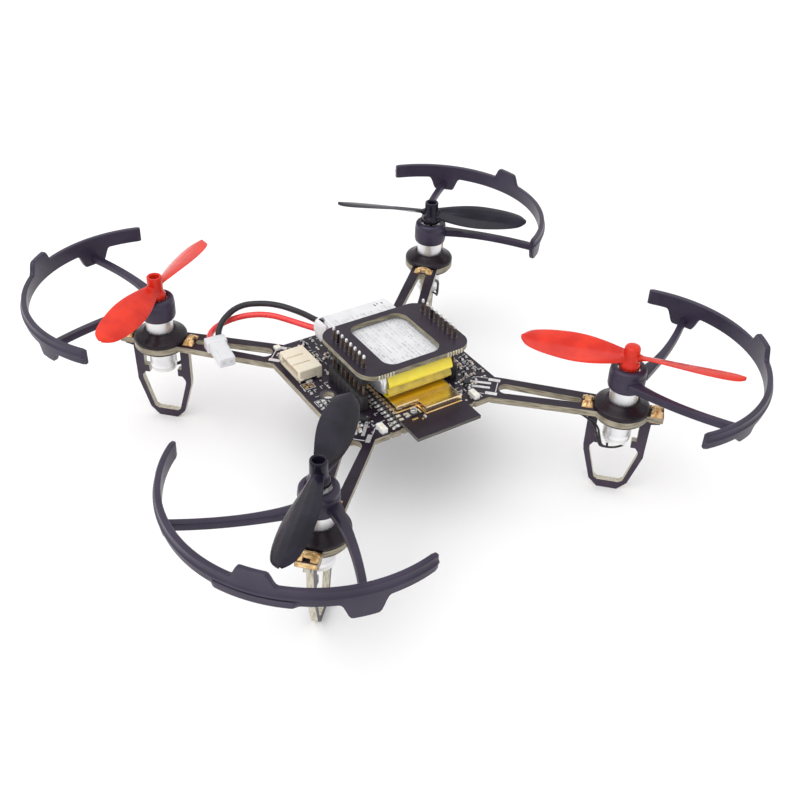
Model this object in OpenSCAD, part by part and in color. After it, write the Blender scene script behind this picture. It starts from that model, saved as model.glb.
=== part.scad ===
// Palm-sized quadcopter whose circuit board is its airframe.
// The nose points along -Y, the feet stand on Z = 0 and the origin is under the centre of the board.

/* [Airframe] */
// Distance between opposite motor axes
motor_diagonal = 120; // [110:1:130]
// Thickness of the circuit boards
board_t = 1.6; // [1.2:0.1:1.8]
// Half width of the square middle of the main board
body_half = 22.8; // [21:0.1:25]
// Width of an arm where it leaves the board
arm_root_w = 8.8; // [8:0.1:10]
// Width of an arm where it meets its motor ring
arm_tip_w = 6.8; // [6:0.1:8]
// Width of the rails on either side of an arm's slot
rail_w = 2.4; // [2:0.1:3]
// Radius of the ring round each motor
ring_r = 6.9; // [6.5:0.1:7.5]
// Height from the floor to the underside of the main board
leg_h = 24; // [20:0.5:28]

/* [Motors] */
// Diameter of a motor can
can_d = 7; // [6:0.5:8]
// Length of a motor can
can_l = 20; // [16:1:22]
// Height of a can's top above the top of the board
can_rise = 11.4; // [10:0.1:12]
// Diameter of a motor shaft
shaft_d = 1; // [0.8:0.1:1.5]

/* [Propellers] */
// Tip to tip length of a propeller
prop_d = 55; // [46:1:60]
// Height of the blades above the top of the board
prop_rise = 14.6; // [14:0.1:16]
// Widest chord of a blade
blade_chord = 8.5; // [6:0.5:10]
// Angle of each propeller at rest: front left, front right, rear left, rear right
prop_angles = [-50, 46, -41, 39];

/* [Guards] */
// Outer radius of the guard's arc
guard_r = 32.6; // [31:0.1:34]
// Thickness of the arc
guard_t = 1.3; // [1:0.1:2]
// Height of the arc's lower edge above the top of the board
guard_rise = 11.6; // [10:0.1:13]
// Height of the arc's band
guard_h = 4; // [3:0.1:5]

/* [Battery] */
// Size of the pouch cell: width, length, thickness
cell = [20, 31, 6.2];
// Height of the battery cover's top above the main board
cover_rise = 12.4; // [11:0.1:14]
// Travel of the cover up its pins
cover_travel = 3; // [2:0.5:4]

/* [Hidden] */
$fn = 48;

// Corners of the craft, in the order used by every list above
FRONT_LEFT = 0;
FRONT_RIGHT = 1;
REAR_LEFT = 2;
REAR_RIGHT = 3;
corner_sign = [[1, -1], [-1, -1], [1, 1], [-1, 1]];
// Turning sense of each propeller seen from above: 1 is counter-clockwise
spin = [-1, 1, 1, -1];
motor_r = motor_diagonal / 2;
motor_xy = motor_r / sqrt(2);
board_top = leg_h + board_t;
fit = 0.05;

// Directions seen from each motor's axis: the arc's two ends, the strut with the deep web, the plain
// strut, the crest on the upper edge; then the depth of the small web over the plain strut
guards = [[-103, 39, 21, -80, -27, 1.8], [131, 284, 256, 170, 219, 0.8],
    [-63, 76, 48, -57, 10, 2.4], [75, 218, 100, 196, 134, 2.6]];
collar_r = 4.4;
collar_z = [6.2, 12.2];
collar_lip_r = 2.9;

// Main board
slot_start = 29.5;
slot_end = 50.2;
mount_hole = [-17.4, -2.2];
mount_hole_d = 3;
grommet_bore_r = 5;
ear_l = 10.3;
ear_w = 5;
tenon_w = 1.7;
tenon_in = 7.4;
tenon_out = 9;

// Rubber grommet
grommet_flange_r = 6.8;
grommet_lip_r = 6.4;
grommet_top = 2.5;
grommet_bottom = board_t + 0.8;

// Header strips and pins
pin_count = 8;
pin_pitch = 2;
pin_x = 13;
pin_first_y = 2.6;
pin_w = 0.5;
strip_w = 2.2;
header_base_h = 4.3;
cover_t = 1.2;
cover_strip_h = 3.6;
// The pins stand just proud of the cover at the top of its travel
pin_top = cover_rise + cover_travel + 0.4;

// Battery cover
cover_half_w = 15.5;
cover_y = [-16.4, 7.2];
cover_corner_r = 4.5;
window_half_w = 8;
window_y = [-14.2, 5.2];
window_corner_r = 3;

// Battery
cell_y = -16;
cell_z = 4.3;
tail_w = 12;
tape_t = 0.2;
tape_l = 2.4;
label_w = 19;
label_l = 28;
label_t = 0.15;

// Radio module
radio_w = 18;
radio_l = 25.5;
radio_t = 0.9;
radio_front = -29.4;
radio_z = 0.7;
shield_h = 1.8;

// Battery lead: routes above the top of the board, from the cell's rear edge to the plug
lead_d = 1.6;
lead_black = [[-9, 15, 8.4], [-9.4, 16.8, 8.4], [-10, 19, 8.3], [-10.8, 21.9, 8.2], [-12, 25.2, 8],
    [-13.7, 28.5, 7.9], [-16, 31.3, 7.8], [-18.7, 33.4, 7.6], [-21.5, 34.6, 7.4], [-24.3, 34.8, 6.9],
    [-26.9, 34.1, 6.1], [-29, 33.1, 5.1], [-30.6, 31.7, 3.9], [-31.6, 29.8, 2.9]];
lead_red = [[-8.9, 15, 6.3], [-10, 16.8, 6.3], [-11.7, 19.3, 6.4], [-13.3, 21.8, 6.5], [-15, 24.7, 6.5],
    [-16.9, 27.7, 6.4], [-19.3, 30.3, 6.1], [-22, 32.4, 5.5], [-24.5, 34.2, 4.5], [-26.9, 35.3, 3.5],
    [-29.3, 35.4, 2.8], [-31.4, 34.3, 2.5], [-33, 32.3, 2.5], [-33.7, 29.9, 2.6]];
plug_at = [-33.2, 25.2, 2.2];
plug_turn = -5;
plug_tilt = 4;
plug_size = [4.6, 10, 3.2];
plug_rim = [5.8, 2.8, 2.4];

// Battery socket on the board
socket_at = [-17.9, 10.8];
socket_size = [6.4, 10.6, 3.4];
socket_mouth = [5.4, 8.2, 2];
socket_floor = 0.7;

// Points along a smooth curve through a route's points (Catmull-Rom)
function spline_point(a, b, c, d, t) =
    0.5 * (2 * b + (c - a) * t + (2 * a - 5 * b + 4 * c - d) * t * t + (3 * b - a - 3 * c + d) * t * t * t);
function smooth_route(p, steps) = let (n = len(p)) concat(
    [for (i = [0:n - 2], k = [0:steps - 1])
        spline_point(p[max(i - 1, 0)], p[i], p[i + 1], p[min(i + 2, n - 1)], k / steps)], [p[n - 1]]);
function unit(v) = v / norm(v);

// Round tube along a route, closed with flat ends
module tube(route, d, sides = 8, steps = 2) {
    p = smooth_route(route, steps);
    n = len(p);
    dirs = [for (i = [0:n - 1]) unit(p[min(i + 1, n - 1)] - p[max(i - 1, 0)])];
    rings = [for (i = [0:n - 1])
        let (side = unit(cross(dirs[i], [0.11, 0.07, 1])), up = cross(side, dirs[i]))
        for (k = [0:sides - 1])
            p[i] + d / 2 * (side * cos(360 * k / sides) + up * sin(360 * k / sides))];
    faces = concat(
        [for (i = [0:n - 2], k = [0:sides - 1]) let (a = i * sides, m = (k + 1) % sides)
            each [[a + k, a + m, a + sides + m], [a + k, a + sides + m, a + sides + k]]],
        [[for (k = [sides - 1:-1:0]) k]],
        [[for (k = [0:sides - 1]) (n - 1) * sides + k]]);
    polyhedron(rings, faces);
}

// Places what follows on top of the main board
module on_board() translate([0, 0, board_top]) children();

// Places what follows at a corner's motor axis, with +X pointing outward along its arm
module at_motor(corner) {
    s = corner_sign[corner];
    translate([s[0] * motor_xy, s[1] * motor_xy, board_top]) rotate(atan2(s[1], s[0])) children();
}

// Places what follows at a corner's motor axis without turning it
module over_motor(corner) {
    s = corner_sign[corner];
    translate([s[0] * motor_xy, s[1] * motor_xy, board_top]) children();
}

module rounded_plate(x0, x1, y0, y1, r) {
    translate([x0 + r, y0]) square([x1 - x0 - 2 * r, y1 - y0]);
    translate([x0, y0 + r]) square([x1 - x0, y1 - y0 - 2 * r]);
    for (x = [x0 + r, x1 - r], y = [y0 + r, y1 - r]) translate([x, y]) circle(r);
}

module block(size, at, turn = 0) translate(at) rotate(turn)
    translate([-size[0] / 2, -size[1] / 2, 0]) cube(size);

// Outline of one arm, drawn along +X from the centre of the craft
module arm_outline() {
    polygon([[15, -arm_root_w / 2], [30, -arm_root_w / 2], [motor_r, -arm_tip_w / 2],
        [motor_r, arm_tip_w / 2], [30, arm_root_w / 2], [15, arm_root_w / 2]]);
    translate([motor_r, 0]) circle(ring_r);
    translate([motor_r, -ear_w / 2]) square([ear_l, ear_w]);
}

// Tapered slot between an arm's two rails
module slot_outline() {
    root = arm_root_w / 2 - rail_w;
    tip = arm_tip_w / 2 - rail_w;
    polygon([[slot_start + root, -root], [slot_end - tip, -tip], [slot_end - tip, tip],
        [slot_start + root, root]]);
    translate([slot_start + root, 0]) circle(root + fit);
    translate([slot_end - tip, 0]) circle(tip + fit, $fn = 24);
}

module main_board() color("#17171a") translate([0, 0, leg_h]) difference() {
    linear_extrude(board_t) difference() {
        union() {
            square(2 * body_half, center = true);
            for (s = corner_sign) rotate(atan2(s[1], s[0])) arm_outline();
        }
        for (s = corner_sign) rotate(atan2(s[1], s[0])) {
            slot_outline();
            for (x = [-tenon_out, tenon_in])
                translate([motor_r + x, -tenon_w / 2]) square([tenon_out - tenon_in, tenon_w]);
        }
        for (x = [-12, -9, 9, 12]) translate([x, -body_half]) circle(0.4, $fn = 16);
    }
    for (s = corner_sign) translate([s[0] * motor_xy, s[1] * motor_xy, -1])
        cylinder(r = grommet_bore_r, h = board_t + 2);
    translate([mount_hole[0], mount_hole[1], -1]) cylinder(d = mount_hole_d, h = board_t + 2);
}

// One flat leg in its own plane: X outward from the motor axis, Y up, 0 at the board's underside
module leg_outline() {
    shoulder = 1.6;
    loop_top = 11.6 - board_t;
    difference() {
        union() {
            polygon([[-9.4, 0], [9.9, 0], [9.9, -shoulder], [7.8, -shoulder - 0.4], [7.6, -11],
                [7.6, -12.6], [4.9, -leg_h + 2.4], [2.6, -leg_h], [-2.6, -leg_h],
                [-4.9, -leg_h + 2.4], [-7.4, -12.6], [-7.6, -11], [-7.6, -shoulder - 0.4],
                [-9.4, -shoulder]]);
            for (x = [-tenon_out, tenon_in]) translate([x + fit, -0.5])
                square([tenon_out - tenon_in - 2 * fit, board_t + 1.1]);
        }
        square([2 * 5.2, 2 * 7.8], center = true);
        translate([0, -8]) square([can_d + 1, 8], center = true);
        polygon([[-5.2, -loop_top], [5.2, -loop_top], [6.1, -loop_top - 1.2], [6.1, -loop_top - 2.2],
            [3.7, -leg_h + 3], [2.8, -leg_h + 2.3], [-2.8, -leg_h + 2.3], [-3.7, -leg_h + 3],
            [-6, -loop_top - 2.2], [-6, -loop_top - 1.2]]);
    }
}

module leg(corner) color("#2a2622") at_motor(corner) translate([0, 0, -board_t])
    rotate([90, 0, 0]) translate([0, 0, -(tenon_w - 2 * fit) / 2])
        linear_extrude(tenon_w - 2 * fit) leg_outline();

module grommet(corner) color("#1b1b1d") over_motor(corner) rotate_extrude()
    polygon([[can_d / 2, -grommet_bottom], [grommet_lip_r, -grommet_bottom], [grommet_lip_r, -board_t],
        [grommet_bore_r, -board_t], [grommet_bore_r, 0], [grommet_flange_r, 0],
        [grommet_flange_r, 1.3], [grommet_flange_r - 0.8, 1.8], [can_d / 2 + 0.9, grommet_top],
        [can_d / 2, grommet_top]]);

module motor_can(corner) color("#d9dadc") over_motor(corner)
    translate([0, 0, can_rise - can_l]) difference() {
        cylinder(d = can_d, h = can_l);
        translate([0, 0, can_l - 0.8]) cylinder(r = 1.4, h = 1);
        translate([0, 0, -1]) cylinder(d = shaft_d + 0.1, h = can_l + 2);
    }

module motor_cap(corner) color("#f0f0ee") over_motor(corner)
    translate([0, 0, can_rise - can_l - 1]) difference() {
        cylinder(d = can_d - 0.3, h = 1);
        translate([0, 0, 0.5]) cylinder(d = shaft_d + 0.6, h = 1);
        for (s = [-1, 1]) translate([1.9 * s, -2, -1]) cylinder(r = 0.3, h = 3, $fn = 16);
    }

// Two thin leads that leave the cap, climb between can and leg and run under one arm rail
module motor_wires(corner) color("#2b2b2e") at_motor(corner) {
    end_z = can_rise - can_l - 1;
    low = -board_t - 0.35;
    for (s = [-1, 1]) {
        y = 2.6 + 0.4 * s;
        tube([[1.9 * s, -2, end_z], [1.9 * s, -2.1, end_z - 0.6], [0.8 * s - 1.2, -3, end_z - 1],
            [-3.4 + 0.3 * s, -3.7, end_z - 0.3], [-4.6 + 0.35 * s, -4, end_z + 3],
            [-5.4 + 0.35 * s, -3.9, -grommet_bottom - 2], [-8 + 0.3 * s, -2.8 + 0.3 * s, low - 0.5],
            [-12, -y, low], [-20, -y - 0.2, low], [-28, -y - 0.5, low], [-32, -y - 0.6, low],
            [-34 + s, -y - 0.6, -board_t]], 0.55, 6);
    }
}

module motor_shaft(corner) color("#c9cacc") over_motor(corner)
    translate([0, 0, can_rise - can_l + 1]) cylinder(d = shaft_d, h = can_l - 1 + shaft_rise);

// One blade: sections from inside the hub to the tip, each a thin twisted lens
blade_steps = 12;
blade_sides = 12;
blade_root_r = 0.95;
hub_h = 6.3;
hub_gap = 0.4;
shaft_rise = 3.4;
// How far each propeller stops short of the others on its shaft, and the length of its blades
prop_seat = [0, 0.9, 0.3, 0];
prop_trim = [0.97, 1, 1, 0.965];
function blade_width(t) = blade_chord * (0.4 + 0.6 * sin(min(1, t * 1.75) * 90))
    * sqrt(1 - pow(t, 5) * 0.93);
function blade_pitch(t) = 34 - 20 * t;
function blade_section(t, sense, reach) = let (
        w = blade_width(t), r = blade_root_r + t * (reach - blade_root_r), tilt = blade_pitch(t) * sense)
    [for (k = [0:blade_sides - 1]) let (
        a = 360 * k / blade_sides, y = w / 2 * cos(a), z = 0.35 * sin(a) + 0.5 * (1 - pow(cos(a), 2)))
        [r, y * cos(tilt) - z * sin(tilt), y * sin(tilt) + z * cos(tilt)]];

module blade(sense, reach) {
    points = [for (i = [0:blade_steps]) each blade_section(i / blade_steps, sense, reach)];
    faces = concat(
        [for (i = [0:blade_steps - 1], k = [0:blade_sides - 1])
            let (a = i * blade_sides, m = (k + 1) % blade_sides)
            each [[a + k, a + blade_sides + k, a + blade_sides + m], [a + k, a + blade_sides + m, a + m]]],
        [[for (k = [0:blade_sides - 1]) k]],
        [[for (k = [blade_sides - 1:-1:0]) blade_steps * blade_sides + k]]);
    polyhedron(points, faces);
}

module propeller(corner) {
    hub_low = can_rise + hub_gap + prop_seat[corner];
    color(spin[corner] < 0 ? "#e02020" : "#232326") over_motor(corner) {
        difference() {
            union() {
                translate([0, 0, hub_low]) cylinder(r = 2.5, h = 1.9);
                translate([0, 0, hub_low + 1.1]) cylinder(r = 1.95, h = hub_h - 1.1);
            }
            translate([0, 0, can_rise]) cylinder(d = shaft_d, h = shaft_rise);
        }
        for (side = [0, 180]) rotate(prop_angles[corner] + side)
            translate([0, 0, prop_rise + prop_seat[corner]])
                blade(spin[corner], prop_trim[corner] * prop_d / 2);
    }
}

web_drop = 3.9;
strut_rise = 7.5;
strut_h = 1.8;
// Step on the outside of the arc below the crest: width along the arc in degrees, depth, height
step = [32, 0.7, 1.5];
web_strut_lift = 1;
plain_strut_lift = 3.4;

// Part of the arc's wall behind a tapered tab: centre angle, base and tip widths, lower and upper height
module guard_tab(angle, base, tip, z0, z1) intersection() {
    translate([0, 0, min(z0, z1)]) difference() {
        cylinder(r = guard_r - fit, h = abs(z1 - z0), $fn = 96);
        translate([0, 0, -1]) cylinder(r = guard_r - guard_t + fit, h = abs(z1 - z0) + 2, $fn = 96);
    }
    rotate(angle) rotate([90, 0, 90]) linear_extrude(guard_r + 2)
        polygon([[-base / 2, z0], [base / 2, z0], [tip / 2, z1], [-tip / 2, z1]]);
}

// Curved strut from the collar to the arc
function strut_line(angle, swirl) = let (
        a = [4 * cos(angle - swirl * 32), 4 * sin(angle - swirl * 32)],
        b = [17 * cos(angle - swirl * 13), 17 * sin(angle - swirl * 13)],
        c = [(guard_r - 0.6) * cos(angle), (guard_r - 0.6) * sin(angle)])
    [for (k = [0:12]) let (t = k / 12) a * pow(1 - t, 2) + b * 2 * t * (1 - t) + c * pow(t, 2)];

// rise lifts the strut's outer end above its root
module strut(angle, swirl, rise) {
    line = strut_line(angle, swirl);
    n = len(line) - 1;
    side = [for (i = [0:n]) let (d = unit(line[min(i + 1, n)] - line[max(i - 1, 0)])) [-d[1], d[0]]];
    half = [for (i = [0:n]) 0.72 + 1.2 * pow(1 - i / n, 4)];
    translate([0, 0, strut_rise]) rotate(angle) rotate([0, -atan(rise / guard_r), 0]) rotate(-angle)
        linear_extrude(strut_h) polygon(concat([for (i = [0:n]) line[i] + side[i] * half[i]],
            [for (i = [n:-1:0]) line[i] - side[i] * half[i]]));
}

module guard(corner) color("#29262f") over_motor(corner) {
    g = guards[corner];
    top = guard_rise + guard_h;
    difference() {
        union() {
            translate([0, 0, collar_z[0]]) cylinder(r = collar_r, h = collar_z[1] - collar_z[0]);
            strut(g[2], -spin[corner], web_strut_lift);
            strut(g[3], -spin[corner], plain_strut_lift);
        }
        translate([0, 0, collar_z[0] - 1]) cylinder(d = can_d, h = can_rise + 1 - collar_z[0]);
        translate([0, 0, collar_z[0]]) cylinder(r = collar_lip_r, h = collar_z[1]);
    }
    rotate(g[0]) rotate_extrude(angle = g[1] - g[0], $fn = 96) {
        translate([guard_r - guard_t, guard_rise]) square([guard_t, guard_h]);
        translate([guard_r - 0.1, guard_rise + guard_h / 2 - 0.3]) square([0.5, 0.6]);
    }
    guard_tab(g[4], 10, 5.5, top - 0.5, top + 3);
    rotate(g[4] - step[0] / 2) rotate_extrude(angle = step[0], $fn = 96)
        translate([guard_r - 0.1, guard_rise]) square([step[1] + 0.1, step[2]]);
    guard_tab(g[2], 11, 5, guard_rise + 0.5, guard_rise - web_drop);
    guard_tab(g[3], 8, 4, guard_rise + 0.5, guard_rise - g[5]);
}

module pin_places() for (s = [-1, 1], i = [0:pin_count - 1])
    translate([s * pin_x, pin_first_y - i * pin_pitch, 0]) children();

module header_bases() color("#1c1c1e") on_board() difference() {
    for (s = [-1, 1]) translate([s * pin_x - strip_w / 2, pin_first_y - (pin_count - 0.5) * pin_pitch, 0])
        cube([strip_w, pin_count * pin_pitch, header_base_h]);
    pin_places() translate([-pin_w / 2, -pin_w / 2, -1]) cube([pin_w, pin_w, header_base_h + 2]);
}

module header_pins() color("#c8a24a") on_board()
    pin_places() translate([-pin_w / 2, -pin_w / 2, 0]) cube([pin_w, pin_w, pin_top]);

module battery_cover() color("#151518") on_board() difference() {
    translate([0, 0, cover_rise - cover_t]) linear_extrude(cover_t) difference() {
        rounded_plate(-cover_half_w, cover_half_w, cover_y[0], cover_y[1], cover_corner_r);
        rounded_plate(-window_half_w, window_half_w, window_y[0], window_y[1], window_corner_r);
    }
    pin_places() translate([0, 0, cover_rise - 2]) cylinder(r = 0.45, h = 3, $fn = 16);
}

module cover_strips() color("#1c1c1e") on_board() difference() {
    for (s = [-1, 1]) translate([s * pin_x - strip_w / 2, pin_first_y - (pin_count - 0.5) * pin_pitch,
            cover_rise - cover_t - cover_strip_h])
        cube([strip_w, pin_count * pin_pitch, cover_strip_h]);
    pin_places() translate([0, 0, cover_rise - cover_t - cover_strip_h - 1])
        cylinder(r = 0.45, h = cover_strip_h + 2, $fn = 16);
}

module battery_cell() color("#c9cbd0") on_board() translate([0, 0, cell_z]) {
    translate([-cell[0] / 2, cell_y, 0]) cube(cell);
    translate([-tail_w / 2, cell_y + cell[1], cell[2] / 2 - 0.6]) cube([tail_w, 1, 1.2]);
}

// A wrap of tape round the front end of the cell
module battery_tape() color("#f2d21c") on_board()
    translate([-cell[0] / 2 - tape_t, cell_y - tape_t, cell_z - tape_t]) difference() {
        cube([cell[0] + 2 * tape_t, tape_l, cell[2] + 2 * tape_t]);
        translate([tape_t, tape_t, tape_t]) cube([cell[0], tape_l, cell[2]]);
    }

module battery_label() color("#f4f4f1") on_board()
    translate([-label_w / 2, cell_y + tape_l + 0.2, cell_z + cell[2]]) cube([label_w, label_l, label_t]);

module battery_lead_red() color("#d42222") on_board() tube(lead_red, lead_d);
module battery_lead_black() color("#1d1d1f") on_board() tube(lead_black, lead_d);

// Places what follows in the plug's own frame: Y runs from its mouth back to the wires
module at_plug() on_board() translate(plug_at) rotate([plug_tilt, 0, plug_turn]) children();

module battery_plug() color("#f1f0ec") at_plug() difference() {
    union() {
        translate(-plug_size / 2) cube(plug_size);
        translate([-plug_rim[0] / 2, plug_size[1] / 2 - plug_rim[1], -plug_rim[2] / 2]) cube(plug_rim);
    }
    for (s = [-1, 1]) translate([s - 0.4, -plug_size[1] / 2 - 1, -0.5]) cube([0.8, 4, 1]);
}

module plug_contacts() color("#d3b25a") at_plug()
    for (s = [-1, 1]) translate([s - 0.35, -plug_size[1] / 2 + 0.4, -0.45]) cube([0.7, 2.4, 0.9]);

// Side-entry socket whose mouth faces the edge of the board
module battery_socket() color("#e9dfc4") on_board() translate([socket_at[0], socket_at[1], 0])
    difference() {
        translate([-socket_size[0] / 2, -socket_size[1] / 2, 0]) cube(socket_size);
        translate([-socket_size[0] / 2 - 1, -socket_mouth[1] / 2, socket_floor]) cube(socket_mouth);
        for (y = [-2, 2]) translate([-socket_size[0] / 2 - 1, y - 0.4, 2.4]) cube([5, 0.8, 2]);
        translate([-socket_size[0] / 2 - 1, -socket_size[1] / 2 - 1, 1.4]) cube([2.4, 2.2, 1]);
    }

module socket_pins() color("#d0d0d2") on_board() translate([socket_at[0], socket_at[1], 0])
    for (y = [-1, 1]) {
        translate([-1.8, y - 0.25, 1.4]) cube([3, 0.5, 0.5]);
        translate([socket_size[0] / 2, y - 0.3, 0]) cube([1.4, 0.6, 0.3]);
    }

module radio_board() color("#101012") on_board() translate([-radio_w / 2, radio_front, radio_z])
    difference() {
        cube([radio_w, radio_l, radio_t]);
        for (x = [0, radio_w], i = [0:11])
            translate([x, 8.2 + 1.5 * i, -1]) cylinder(r = 0.4, h = 3, $fn = 16);
    }

// Shallow metal can with a notch at one front corner for the aerial socket
module radio_shield() color("#c9c2a8") on_board()
    translate([0, radio_front, radio_z + radio_t]) linear_extrude(shield_h)
        polygon([[-2, 7.1], [8.2, 7.1], [8.2, 24.5], [-8.2, 24.5], [-8.2, 10.8], [-2, 10.8]]);

module aerial_socket() color("#d9b45a") on_board() translate([-4.4, radio_front + 8.9, radio_z + radio_t]) {
    block([2.6, 2.6, 0.4], [0, 0, 0]);
    difference() {
        cylinder(r = 1, h = 1.2, $fn = 24);
        translate([0, 0, 0.5]) cylinder(r = 0.75, h = 1, $fn = 24);
    }
    cylinder(r = 0.25, h = 1, $fn = 16);
}

module main_chip() color("#202024") on_board() block([5, 5, 0.9], [-17.8, -10.6, 0], 0);
module sensor_chip() color("#26262a") on_board() block([3, 3, 0.9], [17.6, 4.2, 0], 0);
module regulator_chip() color("#1d1d20") on_board() {
    block([2.9, 1.6, 1.1], [-4.4, 20.8, 0]);
    for (x = [-0.95, 0, 0.95]) block([0.4, 2.6, 0.25], [-4.4 + x, 20.8, 0]);
}

// One small transistor package near the root of each arm
// Motor drivers stand at the arm roots; the rear right one is set aside to clear the battery socket
driver_at = [21.4, 0, 0];
driver_by_socket = [20.9, -3.5, 0];
module motor_drivers() color("#1d1d20") on_board() for (s = corner_sign)
    rotate(atan2(s[1], s[0])) translate(s == [-1, 1] ? driver_by_socket : driver_at) {
        block([1.6, 2.9, 1.1], [0, 0, 0]);
        for (y = [-0.95, 0.95]) block([2.6, 0.4, 0.25], [0, y, 0]);
    }

// Resistors and capacitors stand in short rows along the edges of the board
resistor_rows = [[-12.2, 12.4, 90, 3], [-20.6, -5.8, 90, 4], [20.6, -9.6, 90, 5], [20.6, 8, 90, 4],
    [-10, -20.6, 0, 2], [8.6, 18.6, 0, 5]];
capacitor_rows = [[17.4, -6, 90, 4], [17.4, 9, 90, 3], [-6, 18.4, 0, 1], [-19.2, 18.4, 0, 2],
    [17.6, -3, 0, 1], [-18.8, -17.8, 0, 2]];

module chip_rows(rows, size, pitch) on_board() for (r = rows) translate([r[0], r[1], 0])
    rotate(r[2]) for (i = [0:r[3] - 1]) block(size, [(i - (r[3] - 1) / 2) * pitch, 0, 0], 90);

module small_resistors() color("#2b2b2e") chip_rows(resistor_rows, [1, 0.5, 0.35], 1.1);
module small_capacitors() color("#b08a5a") chip_rows(capacitor_rows, [1.6, 0.8, 0.8], 1.5);

module status_lights() color("#f3f1e6") on_board() {
    for (s = [-1, 1]) block([1.6, 3, 1.3], [13.4 * s, -20.6, 0]);
    for (s = [-1, 1]) block([1.6, 1.6, 0.8], [18.8 * s, 19 - 3 * s, 0]);
}

module leg_front_left() leg(FRONT_LEFT);
module leg_front_right() leg(FRONT_RIGHT);
module leg_rear_left() leg(REAR_LEFT);
module leg_rear_right() leg(REAR_RIGHT);
module grommet_front_left() grommet(FRONT_LEFT);
module grommet_front_right() grommet(FRONT_RIGHT);
module grommet_rear_left() grommet(REAR_LEFT);
module grommet_rear_right() grommet(REAR_RIGHT);
module motor_can_front_left() motor_can(FRONT_LEFT);
module motor_can_front_right() motor_can(FRONT_RIGHT);
module motor_can_rear_left() motor_can(REAR_LEFT);
module motor_can_rear_right() motor_can(REAR_RIGHT);
module motor_cap_front_left() motor_cap(FRONT_LEFT);
module motor_cap_front_right() motor_cap(FRONT_RIGHT);
module motor_cap_rear_left() motor_cap(REAR_LEFT);
module motor_cap_rear_right() motor_cap(REAR_RIGHT);
module motor_shaft_front_left() motor_shaft(FRONT_LEFT);
module motor_shaft_front_right() motor_shaft(FRONT_RIGHT);
module motor_shaft_rear_left() motor_shaft(REAR_LEFT);
module motor_shaft_rear_right() motor_shaft(REAR_RIGHT);
module propeller_front_left() propeller(FRONT_LEFT);
module propeller_front_right() propeller(FRONT_RIGHT);
module propeller_rear_left() propeller(REAR_LEFT);
module propeller_rear_right() propeller(REAR_RIGHT);
module guard_front_left() guard(FRONT_LEFT);
module guard_front_right() guard(FRONT_RIGHT);
module guard_rear_left() guard(REAR_LEFT);
module guard_rear_right() guard(REAR_RIGHT);
module motor_wires_front_left() motor_wires(FRONT_LEFT);
module motor_wires_front_right() motor_wires(FRONT_RIGHT);
module motor_wires_rear_left() motor_wires(REAR_LEFT);
module motor_wires_rear_right() motor_wires(REAR_RIGHT);

main_board();
leg_front_left();
leg_front_right();
leg_rear_left();
leg_rear_right();
grommet_front_left();
grommet_front_right();
grommet_rear_left();
grommet_rear_right();
motor_can_front_left();
motor_can_front_right();
motor_can_rear_left();
motor_can_rear_right();
motor_cap_front_left();
motor_cap_front_right();
motor_cap_rear_left();
motor_cap_rear_right();
motor_shaft_front_left();
motor_shaft_front_right();
motor_shaft_rear_left();
motor_shaft_rear_right();
propeller_front_left();
propeller_front_right();
propeller_rear_left();
propeller_rear_right();
guard_front_left();
guard_front_right();
guard_rear_left();
guard_rear_right();
motor_wires_front_left();
motor_wires_front_right();
motor_wires_rear_left();
motor_wires_rear_right();
header_bases();
header_pins();
battery_cover();
cover_strips();
battery_cell();
battery_tape();
battery_label();
battery_lead_red();
battery_lead_black();
battery_plug();
plug_contacts();
battery_socket();
socket_pins();
radio_board();
radio_shield();
aerial_socket();
main_chip();
sensor_chip();
regulator_chip();
motor_drivers();
small_resistors();
small_capacitors();
status_lights();
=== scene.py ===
"""Looks for the palm-size quadcopter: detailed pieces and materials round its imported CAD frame."""
import math
import random

import bmesh
import bpy
from mathutils import Matrix, Vector, noise


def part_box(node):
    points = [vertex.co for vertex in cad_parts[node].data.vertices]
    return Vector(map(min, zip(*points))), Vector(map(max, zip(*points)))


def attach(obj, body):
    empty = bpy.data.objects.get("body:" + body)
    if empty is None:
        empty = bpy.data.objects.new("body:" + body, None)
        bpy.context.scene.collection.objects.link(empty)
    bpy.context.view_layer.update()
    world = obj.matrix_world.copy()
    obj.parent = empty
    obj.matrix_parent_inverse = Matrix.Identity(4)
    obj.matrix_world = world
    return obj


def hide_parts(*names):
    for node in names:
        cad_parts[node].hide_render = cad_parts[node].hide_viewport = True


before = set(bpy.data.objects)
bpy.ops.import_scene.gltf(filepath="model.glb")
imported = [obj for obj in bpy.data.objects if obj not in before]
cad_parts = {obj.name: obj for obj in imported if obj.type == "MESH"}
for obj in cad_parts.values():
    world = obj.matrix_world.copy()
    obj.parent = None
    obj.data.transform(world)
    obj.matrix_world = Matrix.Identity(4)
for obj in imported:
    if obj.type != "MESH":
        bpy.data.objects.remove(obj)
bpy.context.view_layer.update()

MM = 0.001
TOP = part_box("main_board")[1].z
CORNERS = ("front_left", "front_right", "rear_left", "rear_right")
SIGN = {"front_left": (1, -1), "front_right": (-1, -1), "rear_left": (1, 1), "rear_right": (-1, 1)}
SPIN = {"front_left": -1, "front_right": 1, "rear_left": 1, "rear_right": -1}
AIRFRAME = "airframe"
COVER = "battery_cover_body"
draw = random.Random(7)


def centre(node):
    low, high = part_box(node)
    return (low + high) / 2


MOTOR_R = math.hypot(centre("motor_shaft_front_left").x, centre("motor_shaft_front_left").y) / MM
MOTOR_XY = MOTOR_R / math.sqrt(2)


def clamp(value, low=0.0, high=1.0):
    return max(low, min(high, value))


def smooth(value):
    value = clamp(value)
    return value * value * (3 - 2 * value)


# ---------------------------------------------------------------- camera and light

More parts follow.
